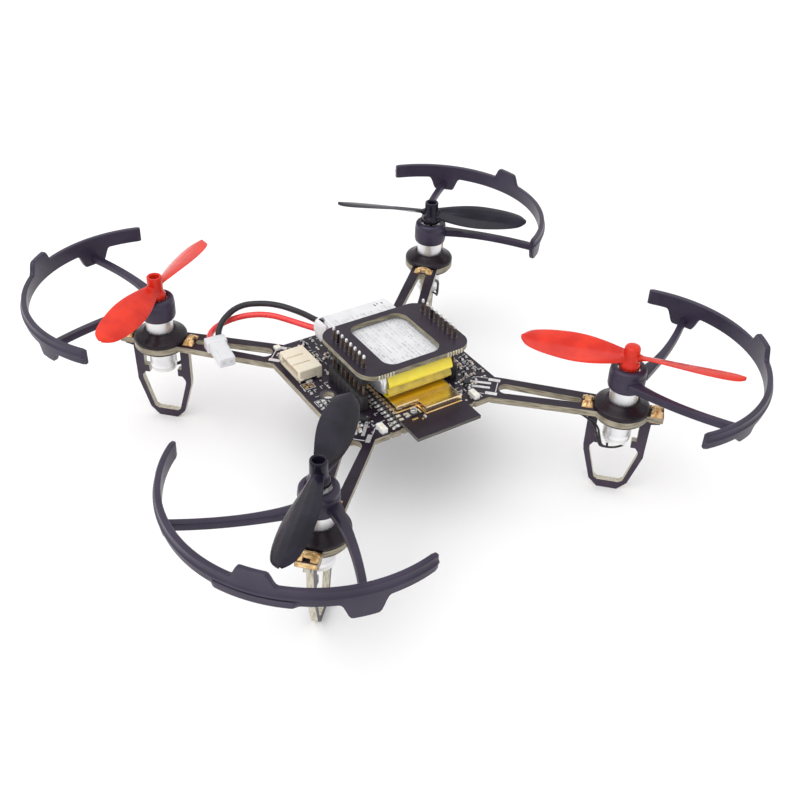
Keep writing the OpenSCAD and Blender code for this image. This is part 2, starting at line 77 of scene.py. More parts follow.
def make_camera():
    azimuth, elevation, roll = math.radians(-34.17), math.radians(36.64), math.radians(2.4)
    back = Vector((math.sin(azimuth) * math.cos(elevation), -math.cos(azimuth) * math.cos(elevation),
                   math.sin(elevation)))
    right = Vector((math.cos(azimuth), math.sin(azimuth), 0))
    up = back.cross(right)
    across = right * math.cos(roll) + up * math.sin(roll)
    upward = up * math.cos(roll) - right * math.sin(roll)
    data = bpy.data.cameras.new("camera")
    data.sensor_width = 36
    data.lens = 48.34
    camera = bpy.data.objects.new("camera", data)
    bpy.context.scene.collection.objects.link(camera)
    turn = Matrix((across, upward, back)).transposed().to_4x4()
    camera.matrix_world = Matrix.Translation((-0.12181, -0.18741, 0.18258)) @ turn
    bpy.context.scene.camera = camera


def area_light(name, place, size, power, aim=(0, 0, 0.03)):
    data = bpy.data.lights.new(name, "AREA")
    data.shape = "DISK"
    data.size = size
    data.energy = power
    light = bpy.data.objects.new(name, data)
    bpy.context.scene.collection.objects.link(light)
    light.location = place
    light.rotation_mode = "QUATERNION"
    light.rotation_quaternion = (Vector(aim) - Vector(place)).to_track_quat("-Z", "Y")


# ---------------------------------------------------------------- materials

def material(name, colour, rough, metal=0.0, second=None, patch=500, rough_swing=0.1, grain=2500,
             bump=0.0, bump_size=3000, stretch=(1, 1, 1), **sockets):
    """A surface whose colour drifts to a second one in patches, with grain in its gloss and relief"""
    made = bpy.data.materials.new(name)
    made.use_nodes = True
    nodes, links = made.node_tree.nodes, made.node_tree.links
    shader = nodes["Principled BSDF"]
    place = nodes.new("ShaderNodeTexCoord")
    scale = nodes.new("ShaderNodeMapping")
    scale.inputs["Scale"].default_value = stretch
    links.new(place.outputs["Object"], scale.inputs["Vector"])

    def cloud(size, detail):
        texture = nodes.new("ShaderNodeTexNoise")
        texture.inputs["Scale"].default_value = size
        texture.inputs["Detail"].default_value = detail
        links.new(scale.outputs["Vector"], texture.inputs["Vector"])
        return texture.outputs["Fac"]

    mix = nodes.new("ShaderNodeMix")
    mix.name = "colour"
    mix.data_type = "RGBA"
    mix.inputs["A"].default_value = (*colour, 1)
    mix.inputs["B"].default_value = (*(second or [c * 0.8 for c in colour]), 1)
    spread = nodes.new("ShaderNodeMapRange")
    spread.inputs["From Min"].default_value = 0.35
    spread.inputs["From Max"].default_value = 0.65
    links.new(cloud(patch, 3), spread.inputs["Value"])
    links.new(spread.outputs["Result"], mix.inputs["Factor"])
    links.new(mix.outputs["Result"], shader.inputs["Base Color"])
    gloss = nodes.new("ShaderNodeMapRange")
    gloss.inputs["To Min"].default_value = clamp(rough - rough_swing)
    gloss.inputs["To Max"].default_value = clamp(rough + rough_swing)
    links.new(cloud(grain, 4), gloss.inputs["Value"])
    links.new(gloss.outputs["Result"], shader.inputs["Roughness"])
    if bump:
        relief = nodes.new("ShaderNodeBump")
        relief.name = "relief"
        relief.inputs["Strength"].default_value = bump
        relief.inputs["Distance"].default_value = 0.0001
        links.new(cloud(bump_size, 3), relief.inputs["Height"])
        links.new(relief.outputs["Normal"], shader.inputs["Normal"])
    shader.inputs["Metallic"].default_value = metal
    for socket, value in sockets.items():
        shader.inputs[socket.replace("_", " ")].default_value = value
    return made


def board_material(name, axis, mask=(0.015, 0.009, 0.018), glow=(0.024, 0.016, 0.029),
                   weave=((0.36, 0.32, 0.24), (0.15, 0.125, 0.085))):
    """Printed circuit board: dark solder mask on the faces across axis, bare glass fibre on the edges"""
    made = material(name, mask, 0.34, second=glow, patch=180, rough_swing=0.08, grain=900, bump=0.25,
                    bump_size=1800, Specular_IOR_Level=0.25)
    nodes, links = made.node_tree.nodes, made.node_tree.links
    shader = nodes["Principled BSDF"]
    facing = nodes.new("ShaderNodeNewGeometry")
    across = nodes.new("ShaderNodeVectorMath")
    across.operation = "DOT_PRODUCT"
    across.inputs[1].default_value = axis
    links.new(facing.outputs["Normal"], across.inputs[0])
    size = nodes.new("ShaderNodeMath")
    size.operation = "ABSOLUTE"
    links.new(across.outputs["Value"], size.inputs[0])
    edge = nodes.new("ShaderNodeMath")
    edge.operation = "LESS_THAN"
    edge.inputs[1].default_value = 0.5
    links.new(size.outputs["Value"], edge.inputs[0])
    place = nodes.new("ShaderNodeTexCoord")
    layers = nodes.new("ShaderNodeTexNoise")
    stretch = nodes.new("ShaderNodeMapping")
    stretch.inputs["Scale"].default_value = [0.12 + 0.88 * abs(a) for a in axis]
    links.new(place.outputs["Object"], stretch.inputs["Vector"])
    links.new(stretch.outputs["Vector"], layers.inputs["Vector"])
    layers.inputs["Scale"].default_value = 2600
    fibre = nodes.new("ShaderNodeMix")
    fibre.data_type = "RGBA"
    fibre.inputs["A"].default_value = (*weave[0], 1)
    fibre.inputs["B"].default_value = (*weave[1], 1)
    band = nodes.new("ShaderNodeMapRange")
    band.inputs["From Min"].default_value = 0.4
    band.inputs["From Max"].default_value = 0.68
    links.new(layers.outputs["Fac"], band.inputs["Value"])
    links.new(band.outputs["Result"], fibre.inputs["Factor"])
    whole = nodes.new("ShaderNodeMix")
    whole.data_type = "RGBA"
    links.new(edge.outputs["Value"], whole.inputs["Factor"])
    links.new(nodes["colour"].outputs["Result"], whole.inputs["A"])
    links.new(fibre.outputs["Result"], whole.inputs["B"])
    links.new(whole.outputs["Result"], shader.inputs["Base Color"])
    return made


DIAGONAL = math.sqrt(0.5)
PCB = board_material("circuit_board", (0, 0, 1))
LEG_EDGE = ((0.6, 0.56, 0.46), (0.35, 0.32, 0.25))
LEG_BOARD = {1: board_material("leg_board_a", (DIAGONAL, -DIAGONAL, 0), (0.036, 0.025, 0.042), (0.052, 0.038, 0.06), LEG_EDGE),
             -1: board_material("leg_board_b", (DIAGONAL, DIAGONAL, 0), (0.036, 0.025, 0.042), (0.052, 0.038, 0.06), LEG_EDGE)}
COVER_PCB = board_material("cover_circuit_board", (0, 0, 1), weave=((0.3, 0.27, 0.19), (0.12, 0.1, 0.07)))
RADIO_PCB = board_material("radio_circuit_board", (0, 0, 1), weave=((0.13, 0.12, 0.11), (0.05, 0.045, 0.04)))
TRACE = material("copper_under_mask", (0.05, 0.043, 0.056), 0.3, patch=700)
SILK = material("silkscreen", (0.62, 0.62, 0.62), 0.55, second=(0.5, 0.5, 0.51), patch=900)
TIN = material("tin", (0.8, 0.8, 0.8), 0.3, 0.55, second=(0.66, 0.65, 0.65), patch=1500, bump=0.35,
               bump_size=2400)
GOLD = material("gold", (0.98, 0.72, 0.36), 0.27, 1.0, second=(0.86, 0.56, 0.24), patch=1200, bump=0.3,
                bump_size=2500)
SOLDER = material("solder", (0.94, 0.68, 0.36), 0.33, 0.6, second=(0.5, 0.29, 0.1), patch=700, bump=0.5,
                  bump_size=1200)
FIBRE = material("glass_fibre", (0.66, 0.62, 0.5), 0.5, second=(0.42, 0.38, 0.27), patch=1600)
PIN_TIP = material("pin_tip", (0.95, 0.95, 0.95), 0.3, 0.6, second=(0.9, 0.9, 0.9), patch=900)
BRASS = material("pin_metal", (0.3, 0.22, 0.16), 0.34, 0.8, second=(0.12, 0.08, 0.06), patch=900)
EPOXY = material("moulded_epoxy", (0.022, 0.022, 0.026), 0.42, second=(0.035, 0.034, 0.04), patch=1500,
                 bump=0.5, bump_size=6000, Specular_IOR_Level=0.3)
CERAMIC = material("ceramic", (0.4, 0.28, 0.18), 0.45, second=(0.3, 0.2, 0.13), patch=1500)
DARK_CERAMIC = material("dark_ceramic", (0.03, 0.03, 0.036), 0.4, second=(0.045, 0.045, 0.05), patch=1500)
PALE = material("pale_package", (0.84, 0.83, 0.8), 0.35, second=(0.75, 0.74, 0.7), patch=1200)
LENS = material("lens", (0.85, 0.8, 0.55), 0.12, second=(0.8, 0.78, 0.62), patch=1800, Coat_Weight=0.6)
HEADER = material("header_plastic", (0.022, 0.021, 0.024), 0.4, second=(0.034, 0.031, 0.034), patch=600,
                  bump=0.3, bump_size=3500, Specular_IOR_Level=0.3)
RUBBER = material("rubber", (0.012, 0.008, 0.012), 0.3, second=(0.022, 0.015, 0.021), patch=350, bump=0.06,
                  bump_size=1500, Specular_IOR_Level=0.22)
STEEL = material("motor_steel", (0.86, 0.86, 0.87), 0.34, 0.8, second=(0.8, 0.79, 0.8), patch=260,
                 rough_swing=0.05, bump=0.12, bump_size=1200, stretch=(1, 1, 0.15))
SHAFT = material("shaft_steel", (0.7, 0.7, 0.72), 0.2, 1.0, second=(0.6, 0.6, 0.6), patch=800)
WHITE_CAP = material("white_plastic", (0.84, 0.84, 0.82), 0.36, second=(0.78, 0.78, 0.76), patch=400, bump=0.15)
PLUG_WHITE = material("plug_nylon", (0.68, 0.68, 0.7), 0.38, second=(0.64, 0.64, 0.66), patch=300, bump=0.15,
                      bump_size=2500, Subsurface_Weight=0.15, Subsurface_Scale=0.001)
CREAM = material("socket_nylon", (0.76, 0.69, 0.56), 0.42, second=(0.72, 0.64, 0.5), patch=260, bump=0.15,
                 bump_size=2500, Subsurface_Weight=0.15, Subsurface_Scale=0.001)
GUARD = material("guard_plastic", (0.024, 0.017, 0.036), 0.34, second=(0.036, 0.027, 0.054), patch=110,
                 rough_swing=0.07, grain=1400, bump=0.35, bump_size=2600, Specular_IOR_Level=0.35)
BLACK_BLADE = material("black_plastic", (0.005, 0.004, 0.009), 0.2, second=(0.014, 0.011, 0.023), patch=160,
                       bump=0.25, bump_size=900, Specular_IOR_Level=0.25)
RED_BLADE = material("red_plastic", (0.72, 0.034, 0.013), 0.22, second=(0.56, 0.018, 0.008), patch=160,
                     bump=0.3, bump_size=600, Subsurface_Weight=0.15, Subsurface_Scale=0.001,
                     Subsurface_Radius=(1.0, 0.25, 0.12), Specular_IOR_Level=0.3)
WIRE_BLACK = material("wire_black", (0.014, 0.012, 0.016), 0.3, second=(0.022, 0.02, 0.025), patch=300, bump=0.15,
                      Specular_IOR_Level=0.35)
WIRE_RED = material("wire_red", (0.8, 0.022, 0.02), 0.28, second=(0.7, 0.015, 0.014), patch=300, bump=0.15,
                    Coat_Weight=0.4)
FOIL = material("foil", (0.86, 0.86, 0.89), 0.3, 0.85, second=(0.78, 0.79, 0.82), patch=220, bump=0.7,
                bump_size=420)
TAPE = material("yellow_tape", (0.97, 0.82, 0.02), 0.13, second=(0.9, 0.7, 0.015), patch=180, bump=0.3,
                bump_size=420, Coat_Weight=1.0, Coat_Roughness=0.05)
# darker copy of the tape's yellow for its lower part: painted shade
TAPE_PAINTED_SHADE = material("yellow_tape_painted_shade", (0.72, 0.5, 0.02), 0.1, second=(0.42, 0.32, 0.01), patch=260, bump=0.3,
                     bump_size=420, Coat_Weight=1.0, Coat_Roughness=0.05)
PAPER = material("paper", (0.7, 0.7, 0.715), 0.5, second=(0.64, 0.64, 0.66), patch=350, bump=0.25,
                 bump_size=4000)
FILM = material("clear_film", (0.95, 0.93, 0.94), 0.3, second=(0.9, 0.88, 0.9), patch=500, bump=0.6, bump_size=700,
                Transmission_Weight=0.3, IOR=1.3)
# grey for the label's faint print, and for painted shade in the plug's contact slots
INK_AND_SHADE = material("faint_ink_and_painted_shade", (0.46, 0.46, 0.49), 0.5, second=(0.62, 0.62, 0.65), patch=600)
SHIELD = material("shield_metal", (0.93, 0.75, 0.48), 0.22, 1.0, second=(0.86, 0.66, 0.4), patch=160,
                  bump=0.2, bump_size=600)


# ---------------------------------------------------------------- mesh helpers

class Shape:
    """Vertices and faces gathered in millimetres, with Z counted from the top of the main board"""

    def __init__(self):
        self.points, self.faces, self.kinds = [], [], []

    def add(self, points, faces, kind=0, place=None):
        base = len(self.points)
        self.points += [place @ Vector(p) if place else Vector(p) for p in points]
        self.faces += [[base + i for i in face] for face in faces]
        self.kinds += [kind] * len(faces)

    def loft(self, rings, kind=0, place=None, closed=False, caps=True):
        """Skin through loops of the same number of points"""
        n, count, faces = len(rings[0]), len(rings), []
        for i in range(count if closed else count - 1):
            j = (i + 1) % count
            faces += [(i * n + k, i * n + (k + 1) % n, j * n + (k + 1) % n, j * n + k) for k in range(n)]
        if caps and not closed:
            faces += [tuple(range(n))[::-1], tuple(range((count - 1) * n, count * n))]
        self.add([p for ring in rings for p in ring], faces, kind, place)

    def lathe(self, profile, kind=0, place=None, n=48, closed=False):
        turn = [(math.cos(2 * math.pi * k / n), math.sin(2 * math.pi * k / n)) for k in range(n)]
        self.loft([[(r * c, r * s, z) for c, s in turn] for r, z in profile], kind, place, closed,
                  caps=False)

    def slab(self, size, at, turn=0.0, kind=0, round_by=0.0, cut=0.0, low_cut=0.0, place=None):
        """Plate of width, length and height standing on at, with rounded corners and chamfered rims"""
        w, l, h = size
        spot = Matrix.Translation(at) @ Matrix.Rotation(math.radians(turn), 4, "Z")
        spot = place @ spot if place else spot
        levels = [(low_cut, 0), (0, low_cut), (0, h - cut), (cut, h)]
        if not low_cut:
            levels = levels[1:]
        if not cut:
            levels = levels[:-1]
        self.loft([[(*p, z) for p in rounded(w - 2 * c, l - 2 * c, max(round_by - c, 0.01))]
                   for c, z in levels], kind, spot)

    def ribbon(self, points, width, z, thick, kind=0, place=None):
        """Flat line through points in the plane, with mitred bends"""
        line = [Vector(p).to_2d() for p in points]
        left, right = [], []
        for i, p in enumerate(line):
            before = (p - line[i - 1]).normalized() if i else (line[1] - p).normalized()
            after = (line[i + 1] - p).normalized() if i < len(line) - 1 else before
            normal = Vector((-(before + after).y, (before + after).x))
            if normal.length < 1e-6:
                normal = Vector((-before.y, before.x))
            normal = normal.normalized()
            normal *= width / 2 / max(0.5, abs(normal.dot(Vector((-before.y, before.x)))))
            left.append(p + normal)
            right.append(p - normal)
        rings = [[(a.x, a.y, z), (b.x, b.y, z), (b.x, b.y, z + thick), (a.x, a.y, z + thick)]
                 for a, b in zip(left, right)]
        self.loft(rings, kind, place)

    def build(self, name, materials, body, replaces=(), bevel=0.0, sharp=38, subdivide=0):
        mesh = bpy.data.meshes.new(name)
        mesh.from_pydata([(p.x * MM, p.y * MM, p.z * MM + TOP) for p in self.points], [], self.faces)
        for face, kind in zip(mesh.polygons, self.kinds):
            face.material_index = kind
        made = bmesh.new()
        made.from_mesh(mesh)
        bmesh.ops.remove_doubles(made, verts=made.verts, dist=2e-7)
        bmesh.ops.dissolve_degenerate(made, edges=made.edges, dist=1e-7)
        bmesh.ops.recalc_face_normals(made, faces=made.faces)
        made.to_mesh(mesh)
        made.free()
        for look in materials:
            mesh.materials.append(look)
        mesh.shade_smooth()
        mesh.set_sharp_from_angle(angle=math.radians(sharp))
        piece = bpy.data.objects.new(name, mesh)
        bpy.context.scene.collection.objects.link(piece)
        if bevel:
            rim = piece.modifiers.new("rim", "BEVEL")
            rim.width = bevel * MM
            rim.segments = 2
            rim.limit_method = "ANGLE"
            rim.angle_limit = math.radians(sharp)
            rim.harden_normals = True
        if subdivide:
            fine = piece.modifiers.new("fine", "SUBSURF")
            fine.levels = fine.render_levels = subdivide
        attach(piece, body)
        if replaces:
            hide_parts(*replaces)
        return piece


def rounded(w, l, r, steps=4):
    """Outline of a rectangle with round corners, counter-clockwise"""
    r = min(r, w / 2 - 1e-4, l / 2 - 1e-4)
    points = []
    for cx, cy, start in ((1, 1, 0), (-1, 1, 90), (-1, -1, 180), (1, -1, 270)):
        for k in range(steps + 1):
            a = math.radians(start + 90 * k / steps)
            points.append((cx * (w / 2 - r) + r * math.cos(a), cy * (l / 2 - r) + r * math.sin(a)))
    return points


def spline(points, steps):
    """Points along the Catmull-Rom curve through a route"""
    p = [Vector(q) for q in points]
    last = len(p) - 1
    found = []
    for i in range(last):
        a, b, c, d = p[max(i - 1, 0)], p[i], p[i + 1], p[min(i + 2, last)]
        for k in range(steps):
            t = k / steps
            found.append(0.5 * (2 * b + (c - a) * t + (2 * a - 5 * b + 4 * c - d) * t * t
                                + (3 * b - a - 3 * c + d) * t ** 3))
    return found + [p[last]]


def wire(name, routes, diameter, look, body, replaces=()):
    """Round wires along routes given in millimetres above the board"""
    data = bpy.data.curves.new(name, "CURVE")
    data.dimensions = "3D"
    data.bevel_depth = diameter / 2 * MM
    data.bevel_resolution = 5
    data.use_fill_caps = True
    for route in routes:
        line = data.splines.new("POLY")
        line.points.add(len(route) - 1)
        for point, p in zip(line.points, route):
            point.co = (p[0] * MM, p[1] * MM, p[2] * MM + TOP, 1)
    data.materials.append(look)
    piece = bpy.data.objects.new(name, data)
    bpy.context.scene.collection.objects.link(piece)
    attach(piece, body)
    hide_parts(*replaces)
    return piece


def at_motor(corner, height=0.0):
    """Frame at a motor's axis with X pointing outward along its arm"""
    sx, sy = SIGN[corner]
    return (Matrix.Translation((sx * MOTOR_XY, sy * MOTOR_XY, height))
            @ Matrix.Rotation(math.atan2(sy, sx), 4, "Z"))


def over_motor(corner, height=0.0):
    sx, sy = SIGN[corner]
    return Matrix.Translation((sx * MOTOR_XY, sy * MOTOR_XY, height))


def along_arm(corner):
    sx, sy = SIGN[corner]
    return Matrix.Rotation(math.atan2(sy, sx), 4, "Z")


# ---------------------------------------------------------------- battery lead

LEAD_D = 1.6
LEAD_BLACK = [(-9, 15, 8.4), (-9.4, 16.8, 8.4), (-10, 19, 8.3), (-10.8, 21.9, 8.2), (-12, 25.2, 8),
              (-13.7, 28.5, 7.9), (-16, 31.3, 7.8), (-18.7, 33.4, 7.6), (-21.5, 34.6, 7.4),
              (-24.3, 34.8, 6.9), (-26.9, 34.1, 6.1), (-29, 33.1, 5.1), (-30.6, 31.7, 3.9), (-31.6, 29.8, 2.9)]
LEAD_RED = [(-8.9, 15, 6.3), (-10, 16.8, 6.3), (-11.7, 19.3, 6.4), (-13.3, 21.8, 6.5), (-15, 24.7, 6.5),
            (-16.9, 27.7, 6.4), (-19.3, 30.3, 6.1), (-22, 32.4, 5.5), (-24.5, 34.2, 4.5), (-26.9, 35.3, 3.5),
            (-29.3, 35.4, 2.8), (-31.4, 34.3, 2.5), (-33, 32.3, 2.5), (-33.7, 29.9, 2.6)]
PLUG_PLACE = (Matrix.Translation((-33.2, 25.2, 2.2)) @ Matrix.Rotation(math.radians(-5), 4, "Z")
              @ Matrix.Rotation(math.radians(4), 4, "X"))


def battery_plug():
    """Two-way white plug: keyed shell, ribbed flange at the wires, two contact slots in its nose drawn as grey squares
    of painted shade
    """
    shape = Shape()
    sections = [(-5.0, 1.95, 1.25), (-4.8, 2.1, 1.4), (2.15, 2.12, 1.42), (2.2, 2.55, 1.5), (2.35, 2.7, 1.5),
                (4.75, 2.75, 1.5), (4.9, 2.65, 1.45), (5.0, 2.5, 1.3)]
    shape.loft([[(x, y, z) for x, z in rounded(2 * half_w, 2 * half_h, 0.3, 3)]
                for y, half_w, half_h in sections], 0, PLUG_PLACE)
    for s in (-1, 1):
        shape.slab((0.36, 6.4, 0.14), (s * 1.65, -1.4, 1.36), 0, 0, 0.1, 0.08, place=PLUG_PLACE)
        # grey squares on the closed nose where the contact slots open: painted shade, no hole is cut
        shape.slab((0.8, 0.05, 0.8), (s * 1.0, -5.0, -0.4), 0, 2, 0.1, 0, place=PLUG_PLACE)
    shape.slab((3.4, 0.35, 0.14), (0, 3.6, 1.46), 0, 0, 0.1, 0.08, place=PLUG_PLACE)
    return shape.build("plug_shell", [PLUG_WHITE, EPOXY, INK_AND_SHADE], AIRFRAME, ["battery_plug"])


def declare_lead(name, route, look, node):
    line = spline(route, 10)
    piece = wire(name, [line], LEAD_D, look, AIRFRAME, [node])


make_camera()
plug = battery_plug()
declare_lead("lead_black", LEAD_BLACK, WIRE_BLACK, "battery_lead_black")
declare_lead("lead_red", LEAD_RED, WIRE_RED, "battery_lead_red")


# ---------------------------------------------------------------- propellers

CAN_TOP = 11.4
CAN_LOW = CAN_TOP - 20
SHAFT_TOP = CAN_TOP + 3.4
BLADE_TIP = 27.5
PROP_ANGLE = {"front_left": -50, "front_right": 46, "rear_left": -41, "rear_right": 39}
PROP_SEAT = {"front_left": 0, "front_right": 0.9, "rear_left": 0.3, "rear_right": 0}
PROP_TRIM = {"front_left": 0.97, "front_right": 1, "rear_left": 1, "rear_right": 0.965}


def blade_rings(sense, ridges, reach):
    """Cross-sections of one blade along X: cambered, twisted, rounded at the tip"""
    spots = [i / 40 for i in range(37)] + [0.925, 0.945, 0.962, 0.976, 0.987, 0.994, 0.998, 0.9995]
    rings = []
    for t in spots:
        chord = 8.5 * (0.4 + 0.6 * math.sin(min(1, t * 1.75) * math.pi / 2)) * math.sqrt(1 - 0.93 * t ** 5)
        if t > 0.9:
            chord *= 0.15 + 0.85 * math.sqrt(max(0.0, 1 - ((t - 0.9) / 0.1) ** 2.6))
        tilt = math.radians(34 - 20 * t) * sense
        r = 0.95 + t * (reach - 0.95)
        half_thick = 0.42 * (1 - 0.55 * t)
        ring = []
        for k in range(36):
            a = 2 * math.pi * k / 36
            u = math.cos(a)
            y = chord / 2 * u
            z = half_thick * math.sin(a) * (1 - 0.25 * u * sense) + 0.5 * (1 - u * u)
            if math.sin(a) > 0:
                for at, high in ridges:
                    z += high * math.exp(-((u - at) / 0.1) ** 2) * math.sin(math.pi * clamp(t * 1.08)) ** 0.5
            ring.append((r, y * math.cos(tilt) - z * math.sin(tilt), y * math.sin(tilt) + z * math.cos(tilt)))
        rings.append(ring)
    return rings


def propeller(corner):
    red = SPIN[corner] < 0
    shape = Shape()
    spot = over_motor(corner)
    low = CAN_TOP + 0.4 + PROP_SEAT[corner]
    rise = 14.6 + PROP_SEAT[corner]
    outer = [(0.55, low), (2.3, low), (2.5, low + 0.2), (2.47, low + 1.2), (2.3, low + 1.7), (2.02, low + 2.0),
             (1.95, low + 2.6), (1.93, low + 5.2)]
    if corner == "front_left":
        crown = [(1.88, low + 5.55), (1.68, low + 5.95), (1.3, low + 6.18), (0.75, low + 6.28), (0, low + 6.3)]
    else:
        crown = [(1.92, low + 6.05), (1.8, low + 6.27), (1.55, low + 6.3), (1.36, low + 6.2), (1.28, low + 5.9),
                 (1.2, low + 4.4), (0, low + 4.4)]
    shape.lathe([(0, SHAFT_TOP + 0.05), (0.52, SHAFT_TOP + 0.05), (0.52, low + 0.1)] + outer + crown, 0, spot, 40)
    ridges = [(-0.4, 0.2), (0.1, 0.24), (0.55, 0.16)] if not red else [(-0.3, 0.08), (0.15, 0.1)]
    for side in (0, 180):
        turn = Matrix.Rotation(math.radians(PROP_ANGLE[corner] + side), 4, "Z")
        shape.loft(blade_rings(SPIN[corner], ridges, BLADE_TIP * PROP_TRIM[corner]), 0, spot @ turn @ Matrix.Translation((0, 0, rise)))
        root = []
        for x, half_w, half_h in ((0.8, 1.3, 1.25), (2.0, 1.35, 1.0), (3.0, 1.2, 0.6), (4.6, 0.9, 0.3)):
            tilt = math.radians(33 - x) * SPIN[corner]
            root.append([(x, y * math.cos(tilt) - z * math.sin(tilt), y * math.sin(tilt) + z * math.cos(tilt))
                         for y, z in [(half_w * math.cos(2 * math.pi * k / 20),
                                       0.25 + half_h * math.sin(2 * math.pi * k / 20)) for k in range(20)]])
        shape.loft(root, 0, spot @ turn @ Matrix.Translation((0, 0, rise)))
    shape.build(f"blades_{corner}", [RED_BLADE if red else BLACK_BLADE], f"propeller_{corner}_body",
                [f"propeller_{corner}"], sharp=50)


# ---------------------------------------------------------------- guards

GUARD_R = 32.6
GUARD_T = 1.3
GUARD_LOW = 11.6
GUARD_H = 4.0
GUARDS = {"front_left": (-103, 39, 21, -80, -27, 1.8), "front_right": (131, 284, 256, 170, 219, 0.8),
          "rear_left": (-63, 76, 48, -57, 10, 2.4), "rear_right": (75, 218, 100, 196, 134, 2.6)}


def tab_height(angle, middle, base, tip, height):
    """Height of a tapered tab at an angle, from its widths in millimetres along the arc"""
    away = abs(math.radians((angle - middle + 180) % 360 - 180)) * GUARD_R
    return height * smooth(smooth(clamp((base / 2 - away) / ((base - tip) / 2 + 0.4)) ** 1.1))


def guard_band(shape, corner, spot):
    start, end, web, plain, crest, small = GUARDS[corner]
    steps = 190
    rings = []
    for i in range(steps + 1):
        angle = start + (end - start) * i / steps
        top = GUARD_LOW + GUARD_H + tab_height(angle, crest, 10.6, 5.5, 3)
        low = GUARD_LOW - max(tab_height(angle, web, 11, 5.2, 3.9), tab_height(angle, plain, 8, 4, small))
        step = 0.7 * smooth((9.1 - abs(math.radians(angle - crest)) * GUARD_R) / 1.6)
        mid = GUARD_LOW + GUARD_H / 2
        inner, outer = GUARD_R - GUARD_T, GUARD_R
        end_inset = 0.25 * (1 - smooth(min(i, steps - i) / 2.0))
        profile = [(inner + 0.2, low), (outer - 0.2 + step, low), (outer + step, low + 0.2),
                   (outer + step, GUARD_LOW + 1.25), (outer + max(step - 0.2, 0), GUARD_LOW + 1.45), (outer, mid - 0.5),
                   (outer + 0.12, mid - 0.45), (outer + 0.4, mid - 0.16), (outer + 0.4, mid + 0.16),
                   (outer + 0.12, mid + 0.45), (outer, mid + 0.75), (outer, top - 0.22),
                   (outer - 0.22, top), (inner + 0.22, top), (inner, top - 0.22), (inner, low + 0.2)]
        middle_r = (inner + outer) / 2
        ring = []
        for r, z in profile:
            r = middle_r + (r - middle_r) * (1 - end_inset)
            z = mid + (z - mid) * (1 - 0.3 * end_inset)
            ring.append((r * math.cos(math.radians(angle)), r * math.sin(math.radians(angle)), z))
        rings.append(ring)
    shape.loft(rings, 0, spot)


def guard_strut(shape, angle, swirl, lift, spot):
    """Curved bar from the collar to the arc, tapering outward, its underside hollowed by a channel"""
    def spoke(r, turn):
        return Vector((r * math.cos(math.radians(angle - swirl * turn)),
                       r * math.sin(math.radians(angle - swirl * turn))))
    a, b, c = spoke(4, 32), spoke(17, 13), spoke(GUARD_R - 0.6, 0)
    count = 28
    line = [a * (1 - k / count) ** 2 + b * 2 * (k / count) * (1 - k / count) + c * (k / count) ** 2
            for k in range(count + 1)]
    rings = []
    for i, p in enumerate(line):
        along = (line[min(i + 1, count)] - line[max(i - 1, 0)]).normalized()
        side = Vector((-along.y, along.x))
        t = i / count
        half = 0.85 + 0.9 * (1 - t) ** 4
        base = 7.5 + lift * (p.length / GUARD_R)
        ring = []
        for y, z in ((-1, 0.15), (-0.84, 0), (-0.45, 0), (-0.4, 0.25), (0.4, 0.25), (0.45, 0), (0.84, 0),
                     (1, 0.15), (1, 1.6), (0.84, 1.8), (0.3, 1.85), (-0.3, 1.85), (-0.84, 1.8), (-1, 1.6)):
            ring.append((p.x + side.x * y * half, p.y + side.y * y * half, base + z))
        rings.append(ring)
    shape.loft(rings, 0, spot)


def guard(corner):
    start, end, web, plain, crest, small = GUARDS[corner]
    shape = Shape()
    spot = over_motor(corner)
    guard_band(shape, corner, spot)
    guard_strut(shape, web, -SPIN[corner], 1.0, spot)
    guard_strut(shape, plain, -SPIN[corner], 3.4, spot)
    shape.lathe([(3.5, 6.5), (3.72, 6.2), (4.1, 6.2), (4.32, 6.42), (4.4, 6.8), (4.4, 11.2), (4.33, 11.65),
                 (4.12, 12.0), (3.8, 12.18), (3.1, 12.2), (2.93, 12.1), (2.9, 11.6), (2.95, 11.48), (3.5, 11.46)],
                0, spot, 56, closed=True)
    shape.lathe([(4.38, 7.0), (4.5, 7.1), (4.5, 10.4), (4.38, 10.55)], 0, spot, 56)
    shape.build(f"guard_shell_{corner}", [GUARD], AIRFRAME, [f"guard_{corner}"], sharp=42)


# ---------------------------------------------------------------- motors, grommets, legs

def grommet(corner):
    shape = Shape()
    profile = [(3.5, -2.35), (3.7, -2.55), (5.9, -2.55), (6.35, -2.35), (6.5, -2.05), (6.45, -1.62), (5.0, -1.6),
               (5.0, 0.02), (6.75, 0.02), (6.92, 0.25), (6.9, 0.75), (6.72, 1.1), (6.2, 1.4), (5.2, 1.86),
               (4.5, 2.3), (4.1, 2.62), (3.75, 2.7), (3.5, 2.55)]
    shape.lathe(profile, 0, over_motor(corner), 64, closed=True)
    shape.build(f"grommet_rubber_{corner}", [RUBBER], AIRFRAME, [f"grommet_{corner}"], sharp=60)


